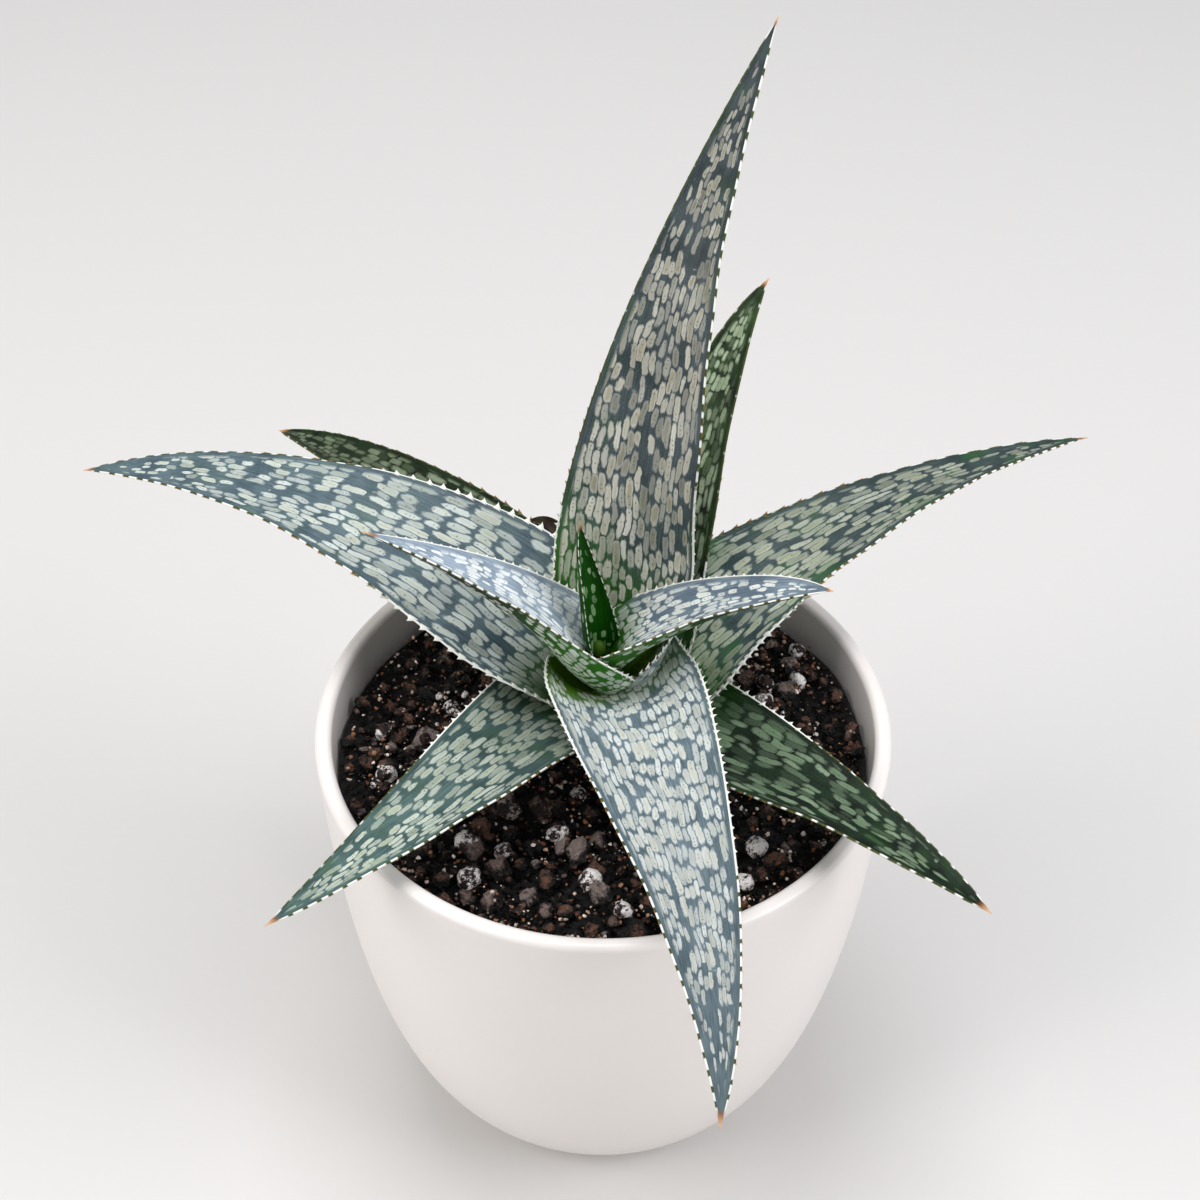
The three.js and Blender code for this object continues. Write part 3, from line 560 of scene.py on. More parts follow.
def leaf_dry_point(tree, at, look, colour):
    """The tip: a dry point, orange brown to straw."""
    dried = look["dry"]
    point = add(tree, "ShaderNodeMapRange", at.tip, 3.4 * dried, 2.0 * dried, 0.0, 1.0)
    straw = add(tree, "ShaderNodeMapRange", at.tip, 2.6 * dried, 0.4 * dried, 0.0, 1.0)
    dry = add(tree, "ShaderNodeMix", straw, linear("8a5a34"), linear("d9b08c"), data_type="RGBA")
    return add(tree, "ShaderNodeMix", point, colour, dry, data_type="RGBA")


def waxy_leaf(name, look, spots):
    """Aloe leaf: a waxy cuticle over green flesh. The eye gets a soft broad shine, pale lozenge spots in
    rows along the leaf, fine veins, a white horny margin broken at each tooth, and green at the base."""
    material, tree, shader = new_material(name, Roughness=0.46, IOR=1.4, Specular_IOR_Level=look["shine"])
    at = skin_marks(tree)
    mask, core, tint, weak, pores = leaf_spots(tree, at, look, spots)
    ground, green, veins = leaf_ground(tree, at, look)
    spot = leaf_spot_colour(tree, at, look, core, tint, pores, green)
    mask = leaf_kept_clear(tree, at, look, mask)
    strong = add(tree, "ShaderNodeMapRange", weak, 0.0, 0.7, 1.0 - look["dim"], 0.97)
    strength = add(tree, "ShaderNodeMath", mask, strong, operation="MULTIPLY")
    colour = add(tree, "ShaderNodeMix", strength, ground, spot, data_type="RGBA")
    light = leaf_light(tree, at, look, mask, veins)
    colour = add(tree, "ShaderNodeVectorMath", colour, ins={3: light}, operation="SCALE")
    colour = leaf_margin(tree, at, look, colour)
    colour = leaf_dry_point(tree, at, look, colour)
    rough = add(tree, "ShaderNodeMapRange", veins, 0.2, 0.8, 0.4, 0.54)
    height = add(tree, "ShaderNodeMath", mask, 0.35, veins, operation="MULTIPLY_ADD")
    bump = add(tree, "ShaderNodeBump", ins={"Strength": 0.35, "Distance": 0.00012, "Height": height})
    feed(tree, shader, Base_Color=colour, Roughness=rough, Normal=bump)
    return material


def horny_teeth():
    """Marginal teeth: horn, white and waxy near the leaf's base, olive further out, with an orange brown
    point."""
    material, tree, shader = new_material("horny_teeth", Roughness=0.4, IOR=1.5)
    up = add(tree, "ShaderNodeAttribute", attribute_name="up").outputs["Fac"]
    age = add(tree, "ShaderNodeAttribute", attribute_name="age").outputs["Fac"]
    root = add(tree, "ShaderNodeMix", age, linear("eeeee6"), linear("5a5c2c"), data_type="RGBA")
    start = add(tree, "ShaderNodeMapRange", age, 0.0, 1.0, 0.8, 0.15)
    ripe = add(tree, "ShaderNodeMath", up, start, operation="SUBTRACT")
    ripe = add(tree, "ShaderNodeMapRange", ripe, 0.0, 0.3, 0.0, 1.0)
    colour = add(tree, "ShaderNodeMix", ripe, root, linear("a8602c"), data_type="RGBA")
    feed(tree, shader, Base_Color=colour)
    return material


def satin_ceramic():
    """Glazed stoneware with a satin white glaze: smooth and bright, with soft wide reflections and a
    faint unevenness left by the glaze."""
    material, tree, shader = new_material("satin_ceramic", Roughness=0.34, IOR=1.5, Coat_Weight=0.12,
                                          Coat_Roughness=0.22)
    place = add(tree, "ShaderNodeTexCoord").outputs["Object"]
    # The glaze's tone changes over about 45 mm, and its skin ripples over about 1 mm
    slow = add(tree, "ShaderNodeTexNoise", place, ins={"Scale": 22.0, "Detail": 2.0})
    colour = add(tree, "ShaderNodeMix", slow, linear("efe8e4"), linear("f4eeea"), data_type="RGBA")
    fine = add(tree, "ShaderNodeTexNoise", place, ins={"Scale": 900.0, "Detail": 2.0})
    ripple = add(tree, "ShaderNodeMath", fine, 0.08, slow, operation="MULTIPLY_ADD")
    rough = add(tree, "ShaderNodeMapRange", fine, 0.3, 0.7, 0.3, 0.4)
    bump = add(tree, "ShaderNodeBump", ins={"Strength": 0.12, "Distance": 0.0004, "Height": ripple})
    feed(tree, shader, Base_Color=colour, Roughness=rough, Normal=bump)
    return material


def potting_mix(name, dark, light, grey):
    """Peat and composted bark: near black when damp, with brown and greyish clods, tan fibres in them, dull
    but for small damp glints. Each lump is painted paler on top and darker underneath, as painted light
    and shade, and the bed, which has no top, takes the darkest tone."""
    material, tree, shader = new_material(name, Roughness=0.5, IOR=1.45, Specular_IOR_Level=0.75)
    place = add(tree, "ShaderNodeTexCoord").outputs["Object"]
    tone = add(tree, "ShaderNodeAttribute", attribute_name="tone").outputs["Fac"]
    # Grit about 0.5 mm across, in patches about 1.5 mm across
    grit = add(tree, "ShaderNodeTexNoise", place, ins={"Scale": 1900.0, "Detail": 3.0, "Roughness": 0.75})
    patch = add(tree, "ShaderNodeTexNoise", place, ins={"Scale": 650.0, "Detail": 2.0, "Roughness": 0.6})
    mixed = add(tree, "ShaderNodeMath", patch, 2.4, -1.2, operation="MULTIPLY_ADD")
    rough = add(tree, "ShaderNodeMath", grit, 2.0, -1.0, operation="MULTIPLY_ADD")
    mixed = add(tree, "ShaderNodeMath", mixed, rough, operation="ADD")
    mixed = add(tree, "ShaderNodeMath", tone, 0.7, mixed, operation="MULTIPLY_ADD")
    # Each lump is painted paler at its top and darker below it: painted light and painted shade
    lit_crown = add(tree, "ShaderNodeAttribute", attribute_name="lit_crown").outputs["Fac"]
    dried = add(tree, "ShaderNodeMapRange", lit_crown, 0.1, 0.9, -0.68, 0.42)
    mixed = add(tree, "ShaderNodeMath", mixed, dried, operation="ADD")
    brown = add(tree, "ShaderNodeMapRange", mixed, 0.1, 0.85, 0.0, 1.0)
    ashen = add(tree, "ShaderNodeMapRange", tone, 0.78, 0.9, 0.0, 1.0)
    lit = add(tree, "ShaderNodeMix", ashen, linear(light), linear(grey), data_type="RGBA")
    own = add(tree, "ShaderNodeMix", brown, linear(dark), lit, data_type="RGBA")
    fleck = add(tree, "ShaderNodeMapRange", grit, 0.62, 0.68, 0.0, 0.9)
    fleck = add(tree, "ShaderNodeMath", fleck, brown, operation="MULTIPLY")
    colour = add(tree, "ShaderNodeMix", fleck, own, linear("d8b49c"), data_type="RGBA")
    damp = add(tree, "ShaderNodeMapRange", patch, 0.4, 0.6, 0.75, 0.22)
    bump = add(tree, "ShaderNodeBump", ins={"Strength": 1.0, "Distance": 0.0009, "Height": mixed})
    feed(tree, shader, Base_Color=colour, Roughness=damp, Normal=bump)
    return material


def fibres_and_painted_glints():
    """Fibres in the mix, orange tan grains, and pinkish white specks that are painted glints, painted
    highlights of the damp mix.
    """
    material, tree, shader = new_material("fibres_and_painted_glints", Roughness=0.5, IOR=1.45)
    tone = add(tree, "ShaderNodeAttribute", attribute_name="tone").outputs["Fac"]
    # The palest grains are painted glints: pinkish white painted highlights
    pale = add(tree, "ShaderNodeMapRange", tone, 0.45, 0.85, 0.0, 1.0)
    own = add(tree, "ShaderNodeMix", tone, linear("6a3c20"), linear("c0885c"), data_type="RGBA")
    colour = add(tree, "ShaderNodeMix", pale, own, linear("f0e2d8"), data_type="RGBA")
    feed(tree, shader, Base_Color=colour)
    return material


def expanded_perlite():
    """Perlite: a puffed white volcanic glass, chalky and pitted, in broad white patches between creases
    full of peat dust; the dustiest grains are brown."""
    material, tree, shader = new_material("expanded_perlite", Roughness=0.6, IOR=1.45,
                                          Specular_IOR_Level=0.4)
    place = add(tree, "ShaderNodeTexCoord").outputs["Object"]
    tone = add(tree, "ShaderNodeAttribute", attribute_name="tone").outputs["Fac"]
    # Puffs about 2.6 mm across, with pits and cells about 1 mm across
    broad = add(tree, "ShaderNodeTexNoise", place, ins={"Scale": 380.0, "Detail": 1.0})
    pits = add(tree, "ShaderNodeTexNoise", place, ins={"Scale": 1050.0, "Detail": 3.0, "Roughness": 0.7})
    cells = add(tree, "ShaderNodeTexVoronoi", place, feature="DISTANCE_TO_EDGE", ins={"Scale": 900.0})
    crack = add(tree, "ShaderNodeMapRange", cells, 0.02, 0.1, 0.1, 0.0)
    level = add(tree, "ShaderNodeMath", broad, 1.0, pits, operation="MULTIPLY_ADD")
    level = add(tree, "ShaderNodeMath", level, crack, operation="ADD")
    level = add(tree, "ShaderNodeMath", tone, 0.14, level, operation="MULTIPLY_ADD")
    film = add(tree, "ShaderNodeMapRange", level, 0.96, 1.06, 0.0, 0.65)
    dust = add(tree, "ShaderNodeMapRange", level, 1.05, 1.12, 0.0, 1.0)
    clean = add(tree, "ShaderNodeMapRange", tone, 0.45, 0.95, 0.0, 1.0)
    clean = add(tree, "ShaderNodeMix", clean, linear("f6f1ef"), linear("86685a"), data_type="RGBA")
    colour = add(tree, "ShaderNodeMix", film, clean, linear("7c6a64"), data_type="RGBA")
    colour = add(tree, "ShaderNodeMix", dust, colour, linear("241712"), data_type="RGBA")
    bump = add(tree, "ShaderNodeBump", invert=True,
               ins={"Strength": 1.0, "Distance": 0.0005, "Height": level})
    feed(tree, shader, Base_Color=colour, Normal=bump)
    return material


def corky_stem():
    """The short stem: corky, dull brown green, ringed by old leaf scars."""
    material, tree, shader = new_material("corky_stem", Roughness=0.8)
    place = add(tree, "ShaderNodeTexCoord").outputs["Object"]
    # Scars and cork about 2 mm across
    grain = add(tree, "ShaderNodeTexNoise", place, ins={"Scale": 500.0, "Detail": 3.0})
    colour = add(tree, "ShaderNodeMix", grain, linear("3c3a20"), linear("7d6c48"), data_type="RGBA")
    bump = add(tree, "ShaderNodeBump", ins={"Strength": 0.6, "Distance": 0.0004, "Height": grain})
    feed(tree, shader, Base_Color=colour, Normal=bump)
    return material


def growing_point():
    """The youngest tissue, deep in the heart: smooth, waxy, olive green flesh without spots."""
    material, tree, shader = new_material("growing_point", Roughness=0.45, IOR=1.4, Specular_IOR_Level=0.3)
    place = add(tree, "ShaderNodeTexCoord").outputs["Object"]
    # The flesh changes its green over about 4 mm
    grain = add(tree, "ShaderNodeTexNoise", place, ins={"Scale": 260.0, "Detail": 2.0})
    colour = add(tree, "ShaderNodeMix", grain, linear("2f5210"), linear("5e8428"), data_type="RGBA")
    feed(tree, shader, Base_Color=colour)
    return material


def pale_floor(colour):
    """The studio's floor: matt painted board, all one pale tone."""
    material, tree, shader = new_material("pale_floor", Roughness=0.9)
    place = add(tree, "ShaderNodeTexCoord").outputs["Object"]
    slow = add(tree, "ShaderNodeTexNoise", place, ins={"Scale": 3.0, "Detail": 1.0})
    tone = add(tree, "ShaderNodeMapRange", slow, 0.0, 1.0, 0.985, 1.0)
    shown = add(tree, "ShaderNodeVectorMath", tuple(colour)[:3], ins={3: tone}, operation="SCALE")
    feed(tree, shader, Base_Color=shown)
    return material


# Shape of the leaves


def unit(rows):
    """The rows as vectors of length 1."""
    return rows / np.linalg.norm(rows, axis=1)[:, None]


def smooth_step(x):
    """Goes smoothly from 0 to 1 while x does."""
    x = np.clip(x, 0, 1)
    return x * x * (3 - 2 * x)


def quads_between(rings, size, first=0):
    """The faces between rings of size points each, whose points are numbered from first on."""
    index = first + np.arange(rings * size).reshape(rings, size)
    a, b = index[:-1], index[1:]
    quads = np.stack([a, b, np.roll(b, -1, axis=1), np.roll(a, -1, axis=1)], axis=-1)
    return quads.reshape(-1, 4).tolist()


def leaf_frame(leaf, t):
    """Centre, heading, sideways and upward directions of the section at each share t of the spine."""
    heading = math.radians(leaf["azimuth"])
    out = np.array([math.cos(heading), math.sin(heading), 0.0])
    side = np.array([-math.sin(heading), math.cos(heading), 0.0])
    up = np.array([0.0, 0.0, 1.0])
    rise, dip = math.radians(leaf["rise"]), math.radians(leaf["dip"])
    (r0, z0), (r3, z3) = leaf["start"], leaf["tip"]
    held = [
        AXIS + out * r0 + up * z0,
        AXIS + out * (r0 + leaf["rising"] * math.cos(rise)) + up * (z0 + leaf["rising"] * math.sin(rise)),
        AXIS + out * (r3 - leaf["dipping"] * math.cos(dip)) + side * leaf["bow"]
        + up * (z3 - leaf["dipping"] * math.sin(dip)),
        AXIS + out * r3 + side * leaf["sweep"] + up * z3,
    ]
    s = t[:, None]
    weights = [(1 - s) ** 3, 3 * s * (1 - s) ** 2, 3 * s * s * (1 - s), s ** 3]
    centre = sum(w * p for w, p in zip(weights, held))
    slopes = [(1 - s) ** 2, 2 * s * (1 - s), s * s]
    along = unit(sum(w * (b - a) for w, a, b in zip(slopes, held, held[1:])))
    across = unit(side - (along @ side)[:, None] * along)
    inward = np.cross(along, across)
    a, b, c = leaf["roll"]
    roll = np.radians(a * (1 - t) ** 2 + b * 2 * t * (1 - t) + c * t * t)[:, None]
    sideways = across * np.cos(roll) + inward * np.sin(roll)
    upward = inward * np.cos(roll) - across * np.sin(roll)
    return centre, along, sideways, upward


def half_width(leaf, t):
    """Half of the blade's width, measured round its arc, at each share t of the spine."""
    opening = leaf["base"] + (1 - leaf["base"]) * np.sin(np.clip(t / leaf["widest"], 0, 1) * np.pi / 2)
    closing = 1 - np.clip((t - leaf["widest"]) / (1 - leaf["widest"]), 0, 1) ** leaf["taper"]
    return np.maximum(leaf["half"] * np.where(t < leaf["widest"], opening, closing), LEAST_HALF_WIDTH)


def section_angle(leaf, t):
    """Half of the arc that the section spans, in radians, at each share t of the spine."""
    blade, end = leaf["channel"]
    clasped = np.clip(1 - t / leaf["unroll"], 0, None) ** 2
    return blade + (end - blade) * t + (leaf["clasp"] - blade) * clasped


def even_stations(leaf, step):
    """Shares t of the spine a steady distance apart, with that distance from the base in millimetres."""
    t = np.linspace(0, 1, 400)
    centre = leaf_frame(leaf, t)[0]
    run = np.concatenate([[0], np.cumsum(np.linalg.norm(np.diff(centre, axis=0), axis=1))])
    count = int(run[-1] / step)
    wanted = np.linspace(0, run[-1], count + 1)
    return np.interp(wanted, run, t), wanted


def of_margin(pair, end):
    """The pair's value for the right margin, whose end is 1, or for the left one, whose end is -1."""
    return pair[0] if end > 0 else pair[1]


def tooth_pitch(leaf, end, at, length):
    """The distance between two teeth of a margin: small near the base, wider further out."""
    near, *far = leaf["teeth"]
    return near + (of_margin(far, end) - near) * min(1, 1.6 * at / length)


def tooth_places(leaf, end, length):
    """Distances from the base of the teeth on one margin."""
    dice = np.random.default_rng(int(leaf["azimuth"] * 7 + 13 * end + 5000))
    places, at = [], TEETH_FROM_BASE
    while at < length - TEETH_FROM_TIP:
        places.append(at)
        at += tooth_pitch(leaf, end, at, length) * dice.uniform(0.8, 1.2)
    return np.array(places)


def face_waves(number, run, width, v):
    """How far the faces stand off a plain arc: slow waves, and low ribs 3.4 mm apart, which fade out at
    both ends of the leaf."""
    phase = np.random.default_rng(number + 40).uniform(0, 6.28, 4)
    fade = np.clip(run / 25, 0, 1) * np.clip(width / 7, 0, 1)
    wave = 0.2 * np.sin(run[:, None] / 8.5 + phase[0] + 1.3 * v)
    wave = wave + 0.13 * np.sin(run[:, None] / 3.9 + phase[1] - 2.2 * v)
    ribs = 0.05 * np.cos(width[:, None] * v * 2 * np.pi / 3.4 + phase[2])
    return (wave + ribs) * fade[:, None]


def collar_climb(leaf, run, v):
    """How high the collar stands at the leaf's base, from a little left of its middle to the right."""
    return leaf["collar"] * np.exp(-(run / 4.5) ** 2)[:, None] * np.clip(3 * v + 0.5, 0, 1)


def wing_swing(leaf, t, v):
    """How far the left wing is laid back, in the lower part of the leaf."""
    wing = np.clip(0.12 - v, 0, 2)
    laid = smooth_step((t[:, None] - 0.05 - 0.07 * wing) / 0.08) * smooth_step((0.42 - t[:, None]) / 0.18)
    return leaf["swing"] * wing * laid


def leaf_form(leaf, number):
    """A leaf in millimetres: the stations along its spine, and over them the grids of its two faces. v
    counts across the blade from -1 on the left margin to 1 on the right one."""
    t, run = even_stations(leaf, STATION_STEP)
    centre, along, sideways, upward = leaf_frame(leaf, t)
    width, theta = half_width(leaf, t), section_angle(leaf, t)
    v = np.linspace(-1, 1, FACE_COLUMNS + 1)
    v = np.sign(v) * (1 - (1 - np.abs(v)) ** 1.25)
    angle = theta[:, None] * v
    inward = upward[:, None] * np.cos(angle)[..., None] - sideways[:, None] * np.sin(angle)[..., None]
    radius = (width / theta)[:, None]
    top = (centre[:, None] + sideways[:, None] * (radius * np.sin(angle))[..., None]
           + upward[:, None] * (radius * (1 - np.cos(angle)))[..., None])
    top = top + inward * face_waves(number, run, width, v)[..., None]
    top = top + collar_climb(leaf, run, v)[..., None] * COLLAR_WAY
    top = top + wing_swing(leaf, t, v)[..., None] * SWING_WAY
    slim = np.clip(width / 1.4, 0.25, 1)[:, None] * np.clip(leaf["half"] / 13, 0.4, 1)
    flesh = leaf["thick"] * np.clip(width / leaf["half"], 0, 1)[:, None] ** 0.8 * (1 - np.abs(v) ** 2.2)
    deep = MARGIN_THICKNESS * slim + flesh
    low = top - inward * deep[..., None]
    return SimpleNamespace(run=run, length=run[-1], along=along, sideways=sideways, upward=upward,
                           width=width, theta=theta, v=v, inward=inward, deep=deep, top=top, low=low)


def margin_line(form, end):
    """The middle line of one margin, and the directions in which the margin faces outwards."""
    column = of_margin((-1, 0), end)
    angle = form.theta * end
    outward = (form.sideways * np.cos(angle)[:, None] + form.upward * np.sin(angle)[:, None]) * end
    return (form.top[:, column] + form.low[:, column]) / 2, outward


def margin_bead(form, end):
    """The round horny edge in which the two faces meet on one margin."""
    column = of_margin((-1, 0), end)
    middle, outward = margin_line(form, end)
    radius = form.deep[:, column] / 2
    turns = np.linspace(np.pi / 2, -np.pi / 2, BEAD_STEPS + 2)[1:-1]
    return np.stack([middle + outward * (radius * math.cos(a))[:, None]
                     + form.inward[:, column] * (radius * math.sin(a))[:, None] for a in turns], axis=1)


def leaf_blade(leaf, form, number, material):
    """The blade: rings of points that go over the upper face, round the right edge, back under the lower
    face and round the left edge, with a point that closes each end."""
    ring = np.concatenate([form.top, margin_bead(form, 1), form.low[:, ::-1],
                           margin_bead(form, -1)[:, ::-1]], axis=1)
    stations, size = ring.shape[:2]
    base, tip = stations * size, stations * size + 1
    ends = [ring[0].mean(0), ring[-1].mean(0) + form.along[-1] * 0.15]
    verts = np.concatenate([ring.reshape(-1, 3), ends])
    faces = quads_between(stations, size)
    last = (stations - 1) * size
    for j in range(size):
        k = (j + 1) % size
        faces.append([j, k, base])
        faces.append([last + k, last + j, tip])
    piece = new_piece(leaf["name"] + "_blade", verts * MM, faces, material)
    mark_skin(leaf, form, number, piece.data)
    return piece


def all_round(form, upper, right, lower, left, first, last):
    """One value for each of the blade's points, from those of the upper face, the right edge, the lower
    face and the left edge, and of the two points that close the ends."""
    stations, face, edge = len(form.run), len(form.v), BEAD_STEPS
    rows = zip((upper, right, lower, left), (face, edge, face, edge))
    rows = [np.broadcast_to(values, (stations, count)) for values, count in rows]
    return np.append(np.concatenate(rows, axis=1), [first, last])


def margin_gap(leaf, form, end):
    """How far each station of a margin is from the nearest break, counted in the breaks' widths."""
    places = tooth_places(leaf, end, form.length)
    beside = np.abs(form.run[:, None] - places).min(axis=1)
    first = of_margin(leaf["dashes"], end)
    return (beside / of_margin(leaf["worn"], end) + np.clip(first - form.run, 0, 2))[:, None]


def mark_skin(leaf, form, number, mesh):
    """Lays the skin out in millimetres, a little crowded at both ends, and stores the distances that its
    markings follow. The underside and the next leaf lie beside it, so that no two share a pattern."""
    run, length, v = form.run[:, None], form.length, form.v
    width, back = form.width[:, None], form.v[::-1]
    inside, behind = width * (1 - np.abs(v)), 0.1 + width * (1 - np.abs(back))
    attribute(mesh, "edge", all_round(form, inside, -BEAD_REACH, behind, -BEAD_REACH, 5.0, 0.1))
    to_tip = length - run
    attribute(mesh, "tip", all_round(form, to_tip, to_tip, to_tip, to_tip, length, 0.0))
    climb = 3 * collar_climb(leaf, form.run, v)
    younger = 1 + abs(leaf["young"]) * np.clip(v * np.sign(leaf["young"]), 0, 1)
    attribute(mesh, "rise", all_round(form, (run + climb) / younger, run, run, run, 0.0, length))
    attribute(mesh, "under", all_round(form, 0.0, 0.5, 1.0, 0.5, 0.5, 0.5))
    right, left = margin_gap(leaf, form, 1), margin_gap(leaf, form, -1)
    upper, lower = (np.where(row > 0, right, left) for row in (v, back))
    attribute(mesh, "gap", all_round(form, upper, right, lower, left, 5.0, 5.0))
    # The rows of spots draw together as the leaf narrows, but less than its edges do
    squeeze = np.sqrt(width * leaf["half"])
    place = SKIN_ROOM * number
    across = all_round(
        form, v * squeeze + place, squeeze + place + BEAD_REACH, back * squeeze + place + UNDERSIDE_PLACE,
        place + UNDERSIDE_PLACE - squeeze - BEAD_REACH, place, place)
    crowded = run + leaf["crowd"] * (1 - np.exp(-run / 12))
    crowded = crowded + 0.75 * length * np.clip(run / length - 0.4, 0, 1) ** 2
    along = all_round(form, crowded, crowded, crowded, crowded, 0.0, crowded[-1, 0])
    layer = mesh.uv_layers.new(name="skin")
    corners = np.empty(len(mesh.loops), np.int32)
    mesh.loops.foreach_get("vertex_index", corners)
    layer.data.foreach_set("uv", np.stack([across, along], axis=1)[corners].astype(np.float32).ravel())


def leaf_teeth(leaf, form, material, tree, sizes):
    """The teeth of one leaf, set along both margins by Geometry Nodes."""
    rows = []
    for end in (1, -1):
        rail, outward = margin_line(form, end)
        for at in tooth_places(leaf, end, form.length):
            place, out, way = ([np.interp(at, form.run, field[:, k]) for k in range(3)]
                               for field in (rail, outward, form.along))
            ending = min(1, (form.length - at) / 14 + 0.3)
            size = leaf["tooth"] * (0.85 + 0.25 * math.sin(at * 12.9) ** 2) * ending
            size *= 1 - 0.5 * smooth_step((at / form.length - 0.15) / 0.5)
            age = np.clip((at - of_margin(leaf["dashes"], end)) / 14 + 0.5, 0, 1)
            lean = np.add(out, np.multiply(way, 0.55 * age))
            pitch = min(tooth_pitch(leaf, end, at, form.length), 3.6) * ending
            rows.append((place, lean, way, size, age, pitch))
    places, outs, ways, scales, ages, pitches = (np.array(field) for field in zip(*rows))
    rail = new_piece(leaf["name"] + "_teeth", places * MM, [], material)
    attribute(rail.data, "out", outs, "FLOAT_VECTOR")
    attribute(rail.data, "way", ways, "FLOAT_VECTOR")
    attribute(rail.data, "size", scales)
    attribute(rail.data, "age", ages)
    attribute(rail.data, "pitch", pitches)
    return with_nodes(rail, tree, Height=sizes.tooth_height, Root=sizes.tooth_root, Lean=sizes.tooth_lean,
                      Material=material)


def teeth_tree():
    """Geometry Nodes: one flattened tooth with hollow flanks on each point, standing out along its out
    vector and leaning along its way vector. Its height goes by its size and its root by its pitch."""
    tree, given, result = new_tree(
        "marginal_teeth", Height=("NodeSocketFloat", 0.001), Root=("NodeSocketFloat", 0.001),
        Lean=("NodeSocketFloat", 0.0004), Material=("NodeSocketMaterial", None))
    sunk = add(tree, "ShaderNodeMath", given.outputs["Height"], 1.3, operation="MULTIPLY")
    cone = add(tree, "GeometryNodeMeshCone", ins={
        "Vertices": 8, "Side Segments": 5, "Radius Top": 0.00005,
        "Radius Bottom": given.outputs["Root"], "Depth": sunk})
    spot = add(tree, "GeometryNodeInputPosition")
    parts = add(tree, "ShaderNodeSeparateXYZ", spot)
    share = add(tree, "ShaderNodeMath", parts.outputs["Z"], sunk, operation="DIVIDE")
    bend = add(tree, "ShaderNodeMath", share, 1.6, operation="POWER")
    bend = add(tree, "ShaderNodeMath", bend, given.outputs["Lean"], operation="MULTIPLY")
    slim = add(tree, "ShaderNodeMath", 1.0, share, operation="SUBTRACT")
    slim = add(tree, "ShaderNodeMath", slim, 0.45, operation="POWER")
    slim = add(tree, "ShaderNodeMath", slim, 0.2, operation="MAXIMUM")
    narrow = add(tree, "ShaderNodeMath", slim, 1.0, operation="SUBTRACT")
    bend = add(tree, "ShaderNodeMath", parts.outputs["X"], narrow, bend, operation="MULTIPLY_ADD")
    flat = add(tree, "ShaderNodeMath", slim, 0.32, -1.0, operation="MULTIPLY_ADD")
    flat = add(tree, "ShaderNodeMath", parts.outputs["Y"], flat, operation="MULTIPLY")
    drop = add(tree, "ShaderNodeMath", given.outputs["Height"], -0.3, operation="MULTIPLY")
    offset = add(tree, "ShaderNodeCombineXYZ", bend, flat, drop)
    bent = add(tree, "GeometryNodeSetPosition", ins={"Geometry": cone.outputs["Mesh"], "Offset": offset})
    kept = add(tree, "GeometryNodeStoreNamedAttribute", data_type="FLOAT", domain="POINT",
               ins={"Geometry": bent, "Name": "up", "Value": share})
    out, way = (add(tree, "GeometryNodeInputNamedAttribute", data_type="FLOAT_VECTOR", ins={"Name": label})
                for label in ("out", "way"))
    size, age, pitch = (
        add(tree, "GeometryNodeInputNamedAttribute", data_type="FLOAT", ins={"Name": label})
        for label in ("size", "age", "pitch"))
    turn = add(tree, "FunctionNodeAlignRotationToVector", axis="Z", ins={"Vector": out})
    turn = add(tree, "FunctionNodeAlignRotationToVector", axis="X", pivot_axis="Z",
               ins={"Rotation": turn, "Vector": way})
    wide = add(tree, "ShaderNodeMath", age, -0.12, 0.46, operation="MULTIPLY_ADD")
    wide = add(tree, "ShaderNodeMath", wide, pitch, operation="MULTIPLY")
    grown = add(tree, "ShaderNodeCombineXYZ", wide, size, size)
    copies = add(tree, "GeometryNodeInstanceOnPoints", ins={
        "Points": given.outputs["Geometry"], "Instance": kept, "Rotation": turn, "Scale": grown})
    real = add(tree, "GeometryNodeRealizeInstances", copies)
    worn = add(tree, "GeometryNodeSetMaterial",
               ins={"Geometry": real, "Material": given.outputs["Material"]})
    smooth = add(tree, "GeometryNodeSetShadeSmooth", worn)
    plug(tree, smooth, result.inputs[0])
    return tree


# Shape of the pot and of what fills it


def wall_outline(inset, count):
    """Points of the wall's curve, from the foot to the rim, as (radius, height)."""
    held = np.array([
        (FOOT_RADIUS - inset * 0.8, inset),
        (FOOT_RADIUS + FOOT_FLARE - inset * 0.9, inset),
        (RIM_RADIUS - RIM_LEAN - inset, POT_HEIGHT * SHOULDER + inset * 0.5),
        (RIM_RADIUS - inset, POT_HEIGHT),
    ])
    s = np.linspace(0, 1, count)[:, None]
    return (held[0] * (1 - s) ** 3 + held[1] * 3 * s * (1 - s) ** 2
            + held[2] * 3 * s * s * (1 - s) + held[3] * s ** 3)


def round_corner(x, z, radius, start, stop, count):
    """Points of an arc round (x, z), from one angle to the other in degrees."""
    angles = np.radians(np.linspace(start, stop, count))
    return np.stack([x + radius * np.cos(angles), z + radius * np.sin(angles)], axis=1)


